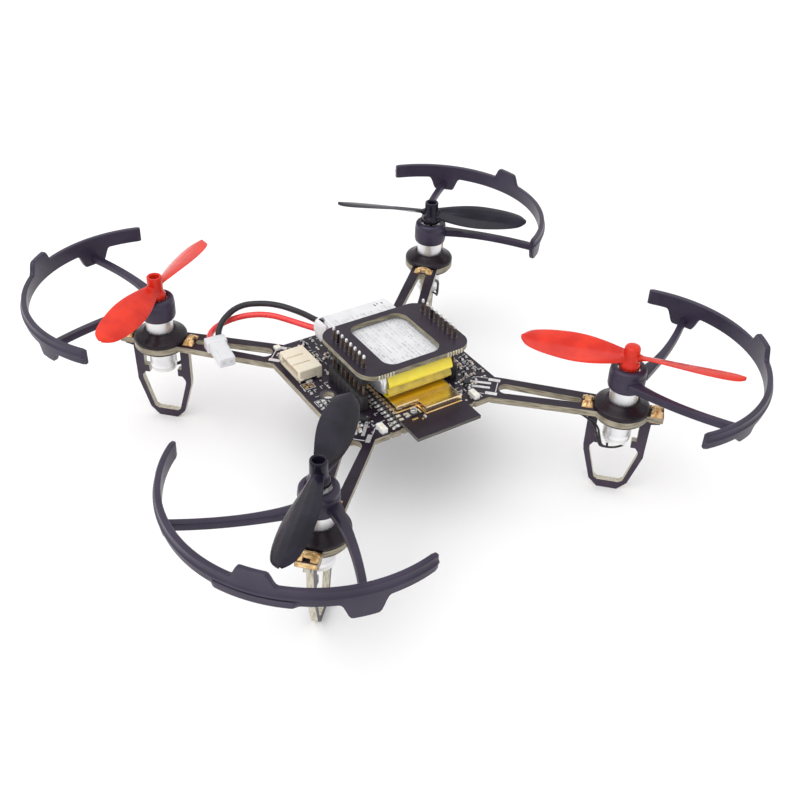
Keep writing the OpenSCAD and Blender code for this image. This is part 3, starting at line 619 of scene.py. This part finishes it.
def motor(corner):
    shape = Shape()
    profile = [(0.6, CAN_LOW + 0.05), (3.2, CAN_LOW), (3.42, CAN_LOW + 0.12), (3.5, CAN_LOW + 0.4), (3.5, CAN_LOW + 1.1),
               (3.44, CAN_LOW + 1.2), (3.44, CAN_LOW + 1.35), (3.5, CAN_LOW + 1.45), (3.5, CAN_TOP - 0.55),
               (3.42, CAN_TOP - 0.22), (3.2, CAN_TOP - 0.04), (2.9, CAN_TOP), (1.6, CAN_TOP), (1.5, CAN_TOP - 0.1),
               (1.45, CAN_TOP - 0.7), (0.62, CAN_TOP - 0.72)]
    shape.lathe(profile, 0, over_motor(corner), 64)
    shape.build(f"can_{corner}", [STEEL], AIRFRAME, [f"motor_can_{corner}"], sharp=60)
    cap = Shape()
    cap.lathe([(0.8, CAN_LOW - 0.45), (0.95, CAN_LOW - 0.95), (2.9, CAN_LOW - 1.0), (3.2, CAN_LOW - 0.85),
               (3.35, CAN_LOW - 0.5), (3.35, CAN_LOW), (0.8, CAN_LOW)], 0, over_motor(corner), 48, closed=True)
    for s in (-1, 1):
        cap.slab((0.9, 1.6, 0.35), (1.9 * s, -2.0, CAN_LOW - 1.15), 0, 0, 0.3, 0, 0.12, at_motor(corner))
        cap.lathe([(0.0, CAN_LOW - 1.35), (0.35, CAN_LOW - 1.3), (0.5, CAN_LOW - 1.1)], 1,
                  at_motor(corner) @ Matrix.Translation((1.9 * s, -2.0, 0)), 16)
    cap.build(f"cap_{corner}", [WHITE_CAP, TIN], AIRFRAME, [f"motor_cap_{corner}"])
    shaft = Shape()
    shaft.lathe([(0, CAN_LOW + 1), (0.5, CAN_LOW + 1), (0.5, SHAFT_TOP - 0.15),
                 (0.4, SHAFT_TOP), (0, SHAFT_TOP)], 0, over_motor(corner), 24)
    shaft.build(f"shaft_{corner}", [SHAFT], f"propeller_{corner}_body", [f"motor_shaft_{corner}"])
    end_z = CAN_LOW - 1
    under = -1.95
    routes = []
    for s in (-1, 1):
        y = 2.6 + 0.4 * s
        route = [(1.9 * s, -2, end_z), (1.9 * s, -2.1, end_z - 0.6), (0.8 * s - 1.2, -3, end_z - 1),
                 (-3.4 + 0.3 * s, -3.7, end_z - 0.3), (-4.6 + 0.35 * s, -4, end_z + 3),
                 (-5.4 + 0.35 * s, -3.9, -4.4), (-8 + 0.3 * s, -2.8 + 0.3 * s, under - 0.5), (-12, -y, under),
                 (-20, -y - 0.2, under), (-28, -y - 0.5, under), (-32, -y - 0.6, under), (-34 + s, -y - 0.6, -1.6)]
        routes.append([at_motor(corner) @ p for p in spline(route, 6)])
    wire(f"wires_{corner}", routes, 0.55, WIRE_BLACK, AIRFRAME, [f"motor_wires_{corner}"])


def leg_solder(corner):
    """Gold pads and heaped solder where a leg's two tenons come through the board"""
    shape = Shape()
    spot = at_motor(corner)
    for x, reach in ((-8.25, 2.7), (8.6, 3.0)):
        for s in (-1, 1):
            shape.slab((reach, 1.7, 0.05), (x, 1.75 * s, 0), 0, 0, 0.15, 0, place=spot)
            heap = []
            for k in range(25):
                u = k / 24
                groove = 0.4 * math.exp(-((u - 0.5) / 0.07) ** 2)
                puff = math.sin(math.pi * (0.1 + 0.8 * u)) ** 0.6 * (1 - groove)
                xx = x + (u - 0.5) * (reach - 0.15)
                heap.append([(xx, s * 0.84, 0.02), (xx, s * (2.0 + 0.45 * puff), 0.02),
                             (xx, s * (1.85 + 0.4 * puff), 0.45 * puff), (xx, s * (1.45 + 0.2 * puff), 0.95 * puff),
                             (xx, s * 1.1, 1.15 * puff), (xx, s * 0.86, 1.2 * puff + 0.05)])
            shape.loft(heap, 0, spot)
            shape.slab((reach, 1.6, 0.05), (x, 1.75 * s, -1.66), 0, 0, 0.15, 0, place=spot)
        shape.slab((1.6, 1.66, 0.75), (x, 0, 0.45), 0, 0, 0.1, 0.1, place=spot)
    shape.slab((0.06, 4.6, 1.3), (10.32, 0, -1.45), 0, 0, 0.02, 0, place=spot)
    shape.build(f"leg_solder_{corner}", [SOLDER], AIRFRAME, sharp=60)


# ---------------------------------------------------------------- headers and cover

PIN_X = 13
PIN_YS = [2.6 - 2 * i for i in range(8)]
COVER_TOP = 12.4


def header_strip(shape, low, high, kind=0):
    """Two rows of moulded cells, each cell chamfered at its corners"""
    for s in (-1, 1):
        for y in PIN_YS:
            outline = [(-1.1, -0.62), (-0.75, -0.98), (0.75, -0.98), (1.1, -0.62), (1.1, 0.62), (0.75, 0.98),
                       (-0.75, 0.98), (-1.1, 0.62)]
            levels = [(0.92, low), (1, low + 0.15), (1, high - 0.15), (0.92, high)]
            shape.loft([[(s * PIN_X + x * f, y + v * f, z) for x, v in outline] for f, z in levels], kind)
        shape.slab((1.5, 15.6, high - low - 0.3), (s * PIN_X, PIN_YS[0] - 7, low + 0.15), 0, kind, 0.1)


def headers():
    base = Shape()
    header_strip(base, 0, 4.3)
    base.build("header_base_strips", [HEADER], AIRFRAME, ["header_bases"])
    strips = Shape()
    header_strip(strips, 7.6, 11.2)
    strips.build("cover_header_strips", [HEADER], COVER, ["cover_strips"])
    pins = Shape()
    for s in (-1, 1):
        for y in PIN_YS:
            half = 0.25
            rings = []
            for f, z in ((0.6, 0.0), (1, 0.1), (1, 14.9), (1, 15.0), (1, 15.4), (0.85, 15.65), (0.5, 15.8)):
                rings.append([(s * PIN_X + x * half * f, y + v * half * f, z)
                              for x, v in ((-1, -1), (1, -1), (1, 1), (-1, 1))])
            pins.loft(rings[:3], 0)
            pins.loft(rings[2:], 1)
    pins.build("header_pin_rows", [BRASS, PIN_TIP], AIRFRAME, ["header_pins"])
    rims = Shape()
    for s in (-1, 1):
        for y in PIN_YS:
            rims.lathe([(0.45, 0), (0.72, 0), (0.72, 0.035), (0.45, 0.035)], 0,
                       Matrix.Translation((s * PIN_X, y, COVER_TOP)), 20, closed=True)
    rims.build("cover_pin_pads", [TRACE], COVER)
    teeth = Shape()
    for start in (-11.8, 7.7):
        for i in range(6):
            x = start + 0.78 * i
            teeth.slab((0.4, 0.36, 1.14), (x, -16.5, COVER_TOP - 1.17), 0, 0, 0.1, 0.04, 0.04)
    teeth.build("cover_breakaway_teeth", [FIBRE], COVER)


# ---------------------------------------------------------------- battery

CELL_FRONT, CELL_BACK, CELL_LOW, CELL_TOP = -16.0, 15.0, 4.3, 10.5


def wrinkle(p, size, depth):
    return depth * noise.noise(Vector(p) / size)


def pouch():
    """Foil pouch: soft corners, a rounded sealed front, creases in its skin"""
    shape = Shape()
    ends = [(15.0, 9.0, 5.4, 9.2, 1.3), (14.86, 9.5, 4.95, 9.75, 1.6), (14.4, 9.85, 4.55, 10.25, 1.7),
            (13.6, 10, 4.35, 10.45, 1.5)]
    sections = list(ends)
    for i in range(1, 24):
        sections.append((13.6 - 27.4 * i / 24, 10, 4.3, 10.5, 1.2))
    sections += [(-13.9, 9.9, 4.4, 10.2, 1.4), (-14.4, 9.8, 4.6, 9.8, 1.5), (-14.8, 9.5, 5.0, 9.1, 1.5),
                 (-15.1, 8.9, 5.6, 8.3, 1.2)]
    rings = []
    for y, half, low, high, r in sections:
        ring = []
        for x, z in rounded(2 * half, high - low, r, 5):
            z += (high + low) / 2
            inward = 0.12 - abs(wrinkle((x, y, z), 3.5, 0.35))
            ring.append((x * (1 - 0.004) - math.copysign(max(inward, 0) * 0.4, x), y, z - 0.02
                         - (0.05 if z > 7 else -0.05) * (1 + noise.noise(Vector((x, y, z)) / 4))))
        rings.append(ring)
    shape.loft(rings, 0)
    shape.slab((11.6, 0.9, 0.5), (0, 15.45, 7.1), 0, 0, 0.3, 0.1, 0.1)
    shape.build("pouch_cell", [FOIL], AIRFRAME, ["battery_cell"], sharp=70, subdivide=1)


def tape():
    """Glossy yellow tape folded round the sealed front end, its lower part a darker yellow as painted shade"""
    path = [(-13.6, 10.62), (-14.1, 10.62), (-14.55, 10.45), (-15.1, 9.85), (-15.6, 9.1), (-16.05, 8.3), (-16.18, 7.75),
            (-16.1, 7.4), (-15.7, 7.15), (-15.35, 6.8), (-15.5, 6.3), (-15.85, 5.7), (-15.95, 5.2), (-15.8, 4.75),
            (-15.4, 4.35), (-14.9, 4.2), (-13.6, 4.17)]
    path = [(p.x, p.y) for p in spline([(y, z, 0) for y, z in path], 3)]
    x0, x1, count = -8.7, 9.5, 30
    shape = Shape()
    rings = []
    painted_shade_start = next(k for k, (y, z) in enumerate(path) if z < 6.85)
    for i in range(count + 1):
        x = x0 + (x1 - x0) * i / count
        outer, inner = [], []
        for k, (y, z) in enumerate(path):
            push = wrinkle((x * 0.5, y * 2, z * 1.5), 2.4, 0.09)
            sag = 0.12 * math.exp(-((z - 6.9) / 0.5) ** 2) * math.sin(x * 0.55)
            outer.append((x, y + push * 0.6, z + sag * (1 if y < -15 else 0)))
            inner.append((x, y * 0.994 + push * 0.6, z + (0.08 if z < 7 else -0.08)))
        rings.append(outer + inner[::-1])
    shape.loft(rings, 0)
    around = len(rings[0])
    # outer faces from the crease down round the underside take the darker yellow: painted shade
    for i in range(count):
        for k in range(painted_shade_start, len(path) - 9):
            shape.kinds[i * around + k] = 1
    shape.build("front_tape", [TAPE, TAPE_PAINTED_SHADE], AIRFRAME, ["battery_tape"], sharp=65)


def rear_film():
    """Cloudy film folded round the cell's rear corner, over the place where the leads come out"""
    shape = Shape()
    path = [(-10.15, 11.5), (-10.7, 13.2), (-11.2, 14.8), (-11.1, 16.2), (-10.0, 17.1), (-8.2, 17.3), (-6, 17.0),
            (-3.5, 16.2), (0, 15.7), (5, 15.4), (9.7, 15.1)]
    inner_edge = Vector((-8.5, 13.5))
    levels = [(4.5, 0.5), (5.2, 0.75), (6.4, 0.95), (7.8, 1.0), (9.0, 0.9), (9.6, 0.7), (9.95, 0.45), (10.1, 0.2)]
    rings = []
    for z, out in levels:
        line = spline([(x, y, 0) for x, y in path], 3)
        ring = []
        for p in line:
            near = Vector((clamp(p.x, -10, 10), min(p.y, 15.0)))
            spot = near + (p.to_2d() - near) * out
            crumple = 0.14 * noise.noise(Vector((p.x, p.y, z)) / 1.4) * out
            ring.append((spot.x - crumple, spot.y + crumple, z))
        inner = [(x + (inner_edge.x - x) * 0.02, y + (inner_edge.y - y) * 0.02, z - 0.02) for x, y, z in ring]
        rings.append(ring + inner[::-1])
    shape.loft(rings, 0)
    shape.build("rear_clear_film", [FILM], AIRFRAME, sharp=65)


def label():
    """Paper label with faint generic rules where its small print would be"""
    shape = Shape()
    low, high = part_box("battery_label")
    y0, y1, z = low.y / MM, high.y / MM + 0.4, (high.z - TOP) / MM
    width = (high.x - low.x) / MM
    count = 20
    rings = []
    for i in range(count + 1):
        y = y0 + (y1 - y0) * i / count
        half = width / 2 - 0.5 * (1 - smooth(min(i, count - i) / 1.5))
        curve = [(-half, z - 0.12), (half, z - 0.12)] + [
            (half * (1 - 2 * k / 12), z - 0.02 + wrinkle((half * (1 - 2 * k / 12), y, 0), 4, 0.02)) for k in range(13)]
        rings.append([(x, y, h) for x, h in curve])
    shape.loft(rings, 0)
    x = -width / 2 + 1.3
    while x < width / 2 - 1:
        y = y1 - 2.5 - draw.uniform(0, 1.5)
        while y > y0 + 0.6:
            run = draw.uniform(0.5, 2.2)
            if draw.random() < 0.8:
                shape.slab((draw.choice((0.28, 0.34, 0.5)), run, 0.012), (x, y - run / 2, z - 0.005), 0, 1, 0.08)
            y -= run + draw.uniform(0.25, 0.7)
        x += draw.choice((0.75, 0.95, 1.3))
    for x, y, run in ((5.2, 13.2, 0.9), (6.1, 13.5, 0.5), (7.4, 13.3, 0.7)):
        shape.slab((0.35, run, 0.012), (x, y, z - 0.005), 12, 2, 0.1)
    shape.build("cell_label", [PAPER, INK_AND_SHADE, EPOXY], AIRFRAME, ["battery_label"], sharp=60)


# ---------------------------------------------------------------- socket, radio, parts on the board

def socket():
    shape = Shape()
    x0, y0, w, l, h = -17.9, 10.8, 6.4, 10.6, 3.4
    left = x0 - w / 2
    deep = w - 1.4
    shape.slab((1.6, l, h), (x0 + w / 2 - 0.8, y0, 0), 0, 0, 0.2, 0.15)
    shape.slab((deep, l, 0.7), (left + deep / 2, y0, 0), 0, 0, 0.15, 0.05)
    for s in (-1, 1):
        shape.slab((deep, 1.2, h - 0.02), (left + deep / 2, y0 + s * (l / 2 - 0.6), 0), 0, 0, 0.18, 0.15)
        shape.slab((1.0, 1.1, 0.5), (left + 0.6, y0 + s * (l / 2 - 0.3), 0.7), 0, 0, 0.1, 0.1)
        shape.slab((1.7, 1.2, 0.3), (left + 2.4, y0 + s * (l / 2 + 0.3), 0), 0, 1, 0.2, 0.12)
    for y, size in ((-3.1, 2.5), (0, 3.2), (3.1, 2.5)):
        shape.slab((deep, size, 0.7), (left + deep / 2, y0 + y, h - 0.74), 0, 0, 0.15, 0.12)
    shape.slab((deep - 0.2, l - 2, 0.2), (left + deep / 2 + 0.2, y0, h - 0.82), 0, 0, 0.1)
    for y in (-1, 1):
        shape.slab((2.9, 0.5, 0.5), (left + 2.8, y0 + y, 1.4), 0, 1, 0.05, 0.08)
        shape.slab((1.3, 0.6, 0.2), (x0 + w / 2 + 0.65, y0 + y, 0.0), 0, 1, 0.08, 0.05)
    shape.build("socket_shell", [CREAM, TIN], AIRFRAME, ["battery_socket", "socket_pins"])


RADIO_FRONT = -29.4
RADIO_TOP = 1.6


def radio():
    shape = Shape()
    outline = [(-2, 7.1), (8.2, 7.1), (8.2, 24.5), (-8.2, 24.5), (-8.2, 10.8), (-2, 10.8)]

    def inset(points, d):
        """Outline moved inward by d, corner by corner"""
        n, made = len(points), []
        for i in range(n):
            a, b, c = Vector(points[i - 1]), Vector(points[i]), Vector(points[(i + 1) % n])
            u, v = (b - a).normalized(), (c - b).normalized()
            made.append(b + d * (Vector((-u.y, u.x)) + Vector((-v.y, v.x))))
        return made
    rings = []
    for d, z in ((0.0, 0.0), (0.0, 1.55), (0.06, 1.7), (0.22, 1.8), (0.9, 1.8)):
        rings.append([(p.x, p.y + RADIO_FRONT, RADIO_TOP + z) for p in inset(outline, d)])
    shape.loft(rings, 0)
    lip = [[(p.x, p.y + RADIO_FRONT, RADIO_TOP + z) for p in inset(outline, d)] for d, z in
           ((-0.22, 0.0), (-0.22, 0.12), (-0.02, 0.16))]
    shape.loft(lip, 0)
    shape.build("radio_can", [SHIELD], AIRFRAME, ["radio_shield"], sharp=30)
    small = Shape()
    spot = Matrix.Translation((-4.4, RADIO_FRONT + 8.9, RADIO_TOP))
    small.slab((2.4, 2.4, 0.35), (0, 0, 0), 0, 1, 0.2, 0.05, place=spot)
    small.lathe([(0.6, 0.3), (0.82, 0.3), (0.84, 0.5), (0.78, 0.62), (0.84, 0.75), (0.82, 1.1), (0.74, 1.15),
                 (0.62, 1.1)], 0, spot, 28, closed=True)
    small.lathe([(0, 0.95), (0.14, 0.93), (0.22, 0.82), (0.22, 0.35)], 0, spot, 16)
    for s in (-1, 1):
        small.slab((0.6, 1.5, 0.12), (1.5 * s, 0, 0), 0, 0, 0.1, 0.03, place=spot)
    small.build("aerial_connector", [TIN, EPOXY], AIRFRAME, ["aerial_socket"])
    edge = Shape()
    for s in (-1, 1):
        for i in range(12):
            y = RADIO_FRONT + 8.2 + 1.5 * i
            edge.slab((1.15, 0.85, 0.03), (s * 8.3, y, RADIO_TOP), 0, 1, 0.1)
            edge.slab((0.05, 0.75, 0.9), (s * 8.62, y, 0.72), 0, 0, 0.02)
            edge.slab((1.9, 0.8, 0.06), (s * 9.3, y, 0.0), 0, 1, 0.1, 0.02)
            edge.lathe([(0, 0.42), (0.3, 0.4), (0.5, 0.2), (0.55, 0.03)], 1, Matrix.Translation((s * 9.05, y, 0)), 12)
    for x, y, w, l in ((-6.6, 9.2, 1.0, 0.55), (-6.6, 8.2, 1.0, 0.55), (-2.9, 6.2, 0.55, 1.0), (-5.6, 6.4, 1.6, 0.5),
                       (-3.9, 5.6, 0.5, 0.5)):
        edge.slab((w, l, 0.4), (x, RADIO_FRONT + y, RADIO_TOP), 0, 1 if l > 0.5 else 0, 0.08, 0.05)
    edge.build("radio_pads", [GOLD, TIN], AIRFRAME)


def two_ended(shape, x, y, l, w, h, turn, body=0, metal=1):
    """Ceramic chip part with tinned ends sitting in solder on two pads"""
    spot = Matrix.Translation((x, y, 0)) @ Matrix.Rotation(math.radians(turn), 4, "Z")
    shape.slab((l * 0.56, w * 0.96, h * 0.95), (0, 0, 0.03), 0, body, 0.04, 0.03, place=spot)
    for s in (-1, 1):
        shape.slab((l * 0.24, w, h), (s * l * 0.38, 0, 0.03), 0, metal, 0.06, 0.05, place=spot)
        shape.slab((l * 0.42, w * 1.25, 0.05), (s * l * 0.52, 0, 0), 0, metal, 0.06, place=spot)
        wedge = [[(s * l * 0.49, v * w * 0.45, 0.04), (s * l * 0.68, v * w * 0.5, 0.04), (s * l * 0.55, v * w * 0.42, h * 0.35),
                  (s * l * 0.49, v * w * 0.4, h * 0.75)] for v in (-1, 0, 1)]
        shape.loft(wedge, metal, spot)


def leaded(shape, x, y, w, l, h, turn, pins, body=0, metal=1):
    """Moulded package with gull-wing leads along both long sides"""
    spot = Matrix.Translation((x, y, 0)) @ Matrix.Rotation(math.radians(turn), 4, "Z")
    shape.slab((w, l, h), (0, 0, 0.08), 0, body, 0.08, 0.1, 0.08, place=spot)
    shape.lathe([(0, h + 0.09), (0.14, h + 0.09), (0.16, h + 0.07)], metal,
                spot @ Matrix.Translation((-w / 2 + 0.5, l / 2 - 0.5, 0)), 12)
    for s in (-1, 1):
        for i in range(pins):
            v = (i - (pins - 1) / 2) * (l - 0.6) / max(pins - 1, 1)
            shape.slab((0.5, 0.26, 0.3), (s * (w / 2 + 0.18), v, 0.05), 0, metal, 0.04, 0.08, place=spot)
            shape.slab((0.75, 0.34, 0.05), (s * (w / 2 + 0.45), v, 0), 0, metal, 0.04, place=spot)


def board_parts():
    small = Shape()
    rows = [(-12.2, 12.4, 90, 3), (-20.6, -5.8, 90, 4), (20.6, -9.6, 90, 5), (20.6, 8, 90, 4), (-10, -20.6, 0, 2),
            (8.6, 18.6, 0, 5)]
    for x, y, turn, count in rows:
        spot = Matrix.Translation((x, y, 0)) @ Matrix.Rotation(math.radians(turn), 4, "Z")
        for i in range(count):
            p = spot @ Vector(((i - (count - 1) / 2) * 1.1, 0, 0))
            two_ended(small, p.x, p.y, 1.0, 0.5, 0.33, turn + 90)
    small.build("resistors", [DARK_CERAMIC, TIN], AIRFRAME, ["small_resistors"])
    big = Shape()
    rows = [(17.4, -6, 90, 4), (17.4, 9, 90, 3), (-6, 18.4, 0, 1), (-19.2, 18.4, 0, 2), (17.6, -3, 0, 1),
            (-18.8, -17.8, 0, 2)]
    for x, y, turn, count in rows:
        spot = Matrix.Translation((x, y, 0)) @ Matrix.Rotation(math.radians(turn), 4, "Z")
        for i in range(count):
            p = spot @ Vector(((i - (count - 1) / 2) * 1.5, 0, 0))
            two_ended(big, p.x, p.y, 1.6, 0.8, 0.75, turn + 90)
    big.build("capacitors", [CERAMIC, TIN], AIRFRAME, ["small_capacitors"])
    chips = Shape()
    leaded(chips, -17.8, -10.6, 4.6, 4.6, 0.85, 0, 9)
    leaded(chips, 17.6, 4.2, 2.7, 2.7, 0.85, 0, 5)
    leaded(chips, -4.4, 20.8, 1.6, 2.9, 1.05, 90, 3)
    for corner in CORNERS:
        spot = along_arm(corner) @ Vector((21.4, 0, 0))
        sx, sy = SIGN[corner]
        leaded(chips, spot.x, spot.y, 1.4, 2.7, 1.0, math.degrees(math.atan2(sy, sx)), 2)
    chips.build("chips", [EPOXY, TIN], AIRFRAME,
                ["main_chip", "sensor_chip", "regulator_chip", "motor_drivers"])
    lights = Shape()
    for s in (-1, 1):
        for x, y, w, l, h in ((13.4 * s, -20.6, 1.6, 3.0, 1.3), (18.8 * s, 19 - 3 * s, 1.6, 1.6, 0.8)):
            lights.slab((w, l, h * 0.94), (x, y, 0.02), 0, 0, 0.15, 0.08)
            lights.lathe([(0, h), (0.3, h * 0.995), (0.52, h * 0.96), (0.58, h * 0.9)], 1, Matrix.Translation((x, y, 0)), 20)
            for e in (-1, 1):
                lights.slab((w * 0.9, 0.4, 0.5), (x, y + e * l / 2, 0), 0, 2, 0.08, 0.1)
    lights.build("indicator_lights", [PALE, LENS, TIN], AIRFRAME, ["status_lights"])


def free_of(x, y, margin=0.0):
    """True where the board's surface is clear for small parts and printed lines"""
    blocked = [(-9.9, 9.9, -30, -3.2), (-14.5, -11.5, -13.1, 4.2), (11.5, 14.5, -13.1, 4.2), (-22, -13.2, 5, 16.7), (-21.6, -16.6, 16.7, 19.6),
               (-20.6, -14.9, -13.5, -7.8), (15.8, 19.4, 2.4, 6.1), (-6.5, -2.3, 18.8, 22.3), (-19.4, -15.2, -4.4, -0.2)]
    if abs(x) > 22 - margin or abs(y) > 22 - margin or abs(x) + abs(y) > 36:
        return False
    return not any(a - margin < x < b + margin and c - margin < y < d + margin for a, b, c, d in blocked)


def printed_details():
    """Silkscreen, bare pads, vias and tracks under the mask, all a few hundredths of a millimetre proud"""
    marks = Shape()
    for corner in CORNERS:
        spot = along_arm(corner)
        marks.slab((5.4, 0.85, 0.05), (24.7, 1.15, 0), 3, 1, 0.1, place=spot)
        marks.slab((5.4, 0.85, 0.05), (24.7, -0.75, 0), 3, 1, 0.1, place=spot)
        for s in (-1, 1):
            marks.slab((3.0, 1.15, 0.06), (28.0, 2.9 * s, 0), 0, 1, 0.15, place=spot)
            marks.ribbon([(22.4, 2.2 * s), (23.6, 3.4 * s), (26.3, 3.4 * s)], 0.22, 0, 0.02, 0, spot)
        marks.ribbon([(29.0, 2.1), (29.0, -2.1)], 0.24, 0, 0.02, 0, spot)
    for x, y in ((-19.9, 3.6), (-20.3, -4.2)):
        for i in range(2):
            for j in range(2):
                marks.slab((0.9, 0.7, 0.05), (x - 0.7 + 1.4 * i, y - 0.55 + 1.1 * j, 0), 0, 1 if y < 0 else 2, 0.08)
        marks.ribbon([(x - 1.5, y - 1.2), (x + 1.5, y - 1.2), (x + 1.5, y + 1.2), (x - 1.5, y + 1.2), (x - 1.5, y - 1.2)],
                     0.16, 0, 0.02, 0)
    marks.lathe([(1.5, 0), (2.15, 0), (2.15, 0.04), (1.5, 0.04)], 3, Matrix.Translation((-17.4, -2.2, 0)), 32, closed=True)
    taken = []
    for _ in range(2600):
        x, y = draw.uniform(-22.1, 22.1), draw.uniform(-22.1, 22.1)
        if not free_of(x, y, 0.35) or any(abs(x - a) < 1.28 and abs(y - b) < 1.28 for a, b in taken):
            continue
        taken.append((x, y))
        choice = draw.random()
        turn = draw.choice((0, 90))
        if choice < 0.42:
            two_ended(marks, x, y, 1.15, 0.62, 0.4, turn, draw.choice((4, 5, 4)), 1)
        elif choice < 0.58:
            for s in (-1, 1):
                marks.slab((0.5, 0.6, 0.05), (x + (0.45 * s if turn else 0), y + (0 if turn else 0.45 * s), 0), 0, 1, 0.06)
        elif choice < 0.76:
            w, l = draw.choice(((0.5, 0.4), (0.4, 0.55)))
            gap = [(x - w, y - l), (x - w, y + l), (x + w, y + l)]
            marks.ribbon(gap, 0.16, 0, 0.02, 0)
        elif choice < 0.88:
            marks.lathe([(0.14, 0), (0.3, 0), (0.3, 0.03), (0.14, 0.03)], 1, Matrix.Translation((x, y, 0)), 12, closed=True)
        else:
            marks.slab((0.16, 1.0, 0.02), (x, y, 0), turn, 0, 0.05)
    marks.build("board_marks", [SILK, TIN, GOLD, TRACE, DARK_CERAMIC, CERAMIC], AIRFRAME, sharp=45)
    tracks = Shape()
    for _ in range(150):
        x, y = draw.uniform(-21.5, 21.5), draw.uniform(-21.5, 21.5)
        step = draw.choice(((1, 0), (0, 1), (1, 1), (1, -1)))
        points = [(x, y)]
        for leg in range(3):
            run = draw.uniform(1.0, 3.2)
            points.append((points[-1][0] + step[0] * run, points[-1][1] + step[1] * run))
            step = {(1, 0): (1, draw.choice((1, -1))), (0, 1): (draw.choice((1, -1)), 1)}.get(step, draw.choice(((1, 0), (0, 1))))
        if all(free_of(a, b, 0.1) for a, b in points):
            tracks.ribbon(points, 0.18, 0, 0.012)
    tracks.build("board_tracks", [TRACE], AIRFRAME)


for corner in CORNERS:
    propeller(corner)
    guard(corner)
    grommet(corner)
    motor(corner)
    leg_solder(corner)
headers()
pouch()
tape()
rear_film()
label()
socket()
radio()
board_parts()
printed_details()


# ---------------------------------------------------------------- CAD nodes that keep their shape

def dress(node, look):
    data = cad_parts[node].data
    data.materials.clear()
    data.materials.append(look)


for node, look in (("main_board", PCB), ("battery_cover", COVER_PCB), ("radio_board", RADIO_PCB)):
    dress(node, look)
for corner in CORNERS:
    sx, sy = SIGN[corner]
    dress(f"leg_{corner}", LEG_BOARD[sx * sy])
dress("plug_contacts", BRASS)


# ---------------------------------------------------------------- surroundings

floor_mesh = bpy.data.meshes.new("floor")
floor_mesh.from_pydata([(-3, -3, 0), (3, -3, 0), (3, 3, 0), (-3, 3, 0)], [], [(0, 1, 2, 3)])
floor_mesh.materials.append(material("floor_paper", (0.93, 0.93, 0.935), 0.7, second=(0.925, 0.925, 0.93), patch=4,
                                     rough_swing=0.02, grain=20))
floor = bpy.data.objects.new("floor", floor_mesh)
bpy.context.scene.collection.objects.link(floor)

world = bpy.data.worlds.new("studio")
world.use_nodes = True
world.node_tree.nodes["Background"].inputs["Color"].default_value = (1, 1, 1, 1)
world.node_tree.nodes["Background"].inputs["Strength"].default_value = 0.95
bpy.context.scene.world = world
bpy.context.scene.view_settings.view_transform = "Standard"
area_light("key", (-0.45, -0.05, 0.75), 1.1, 4.4)
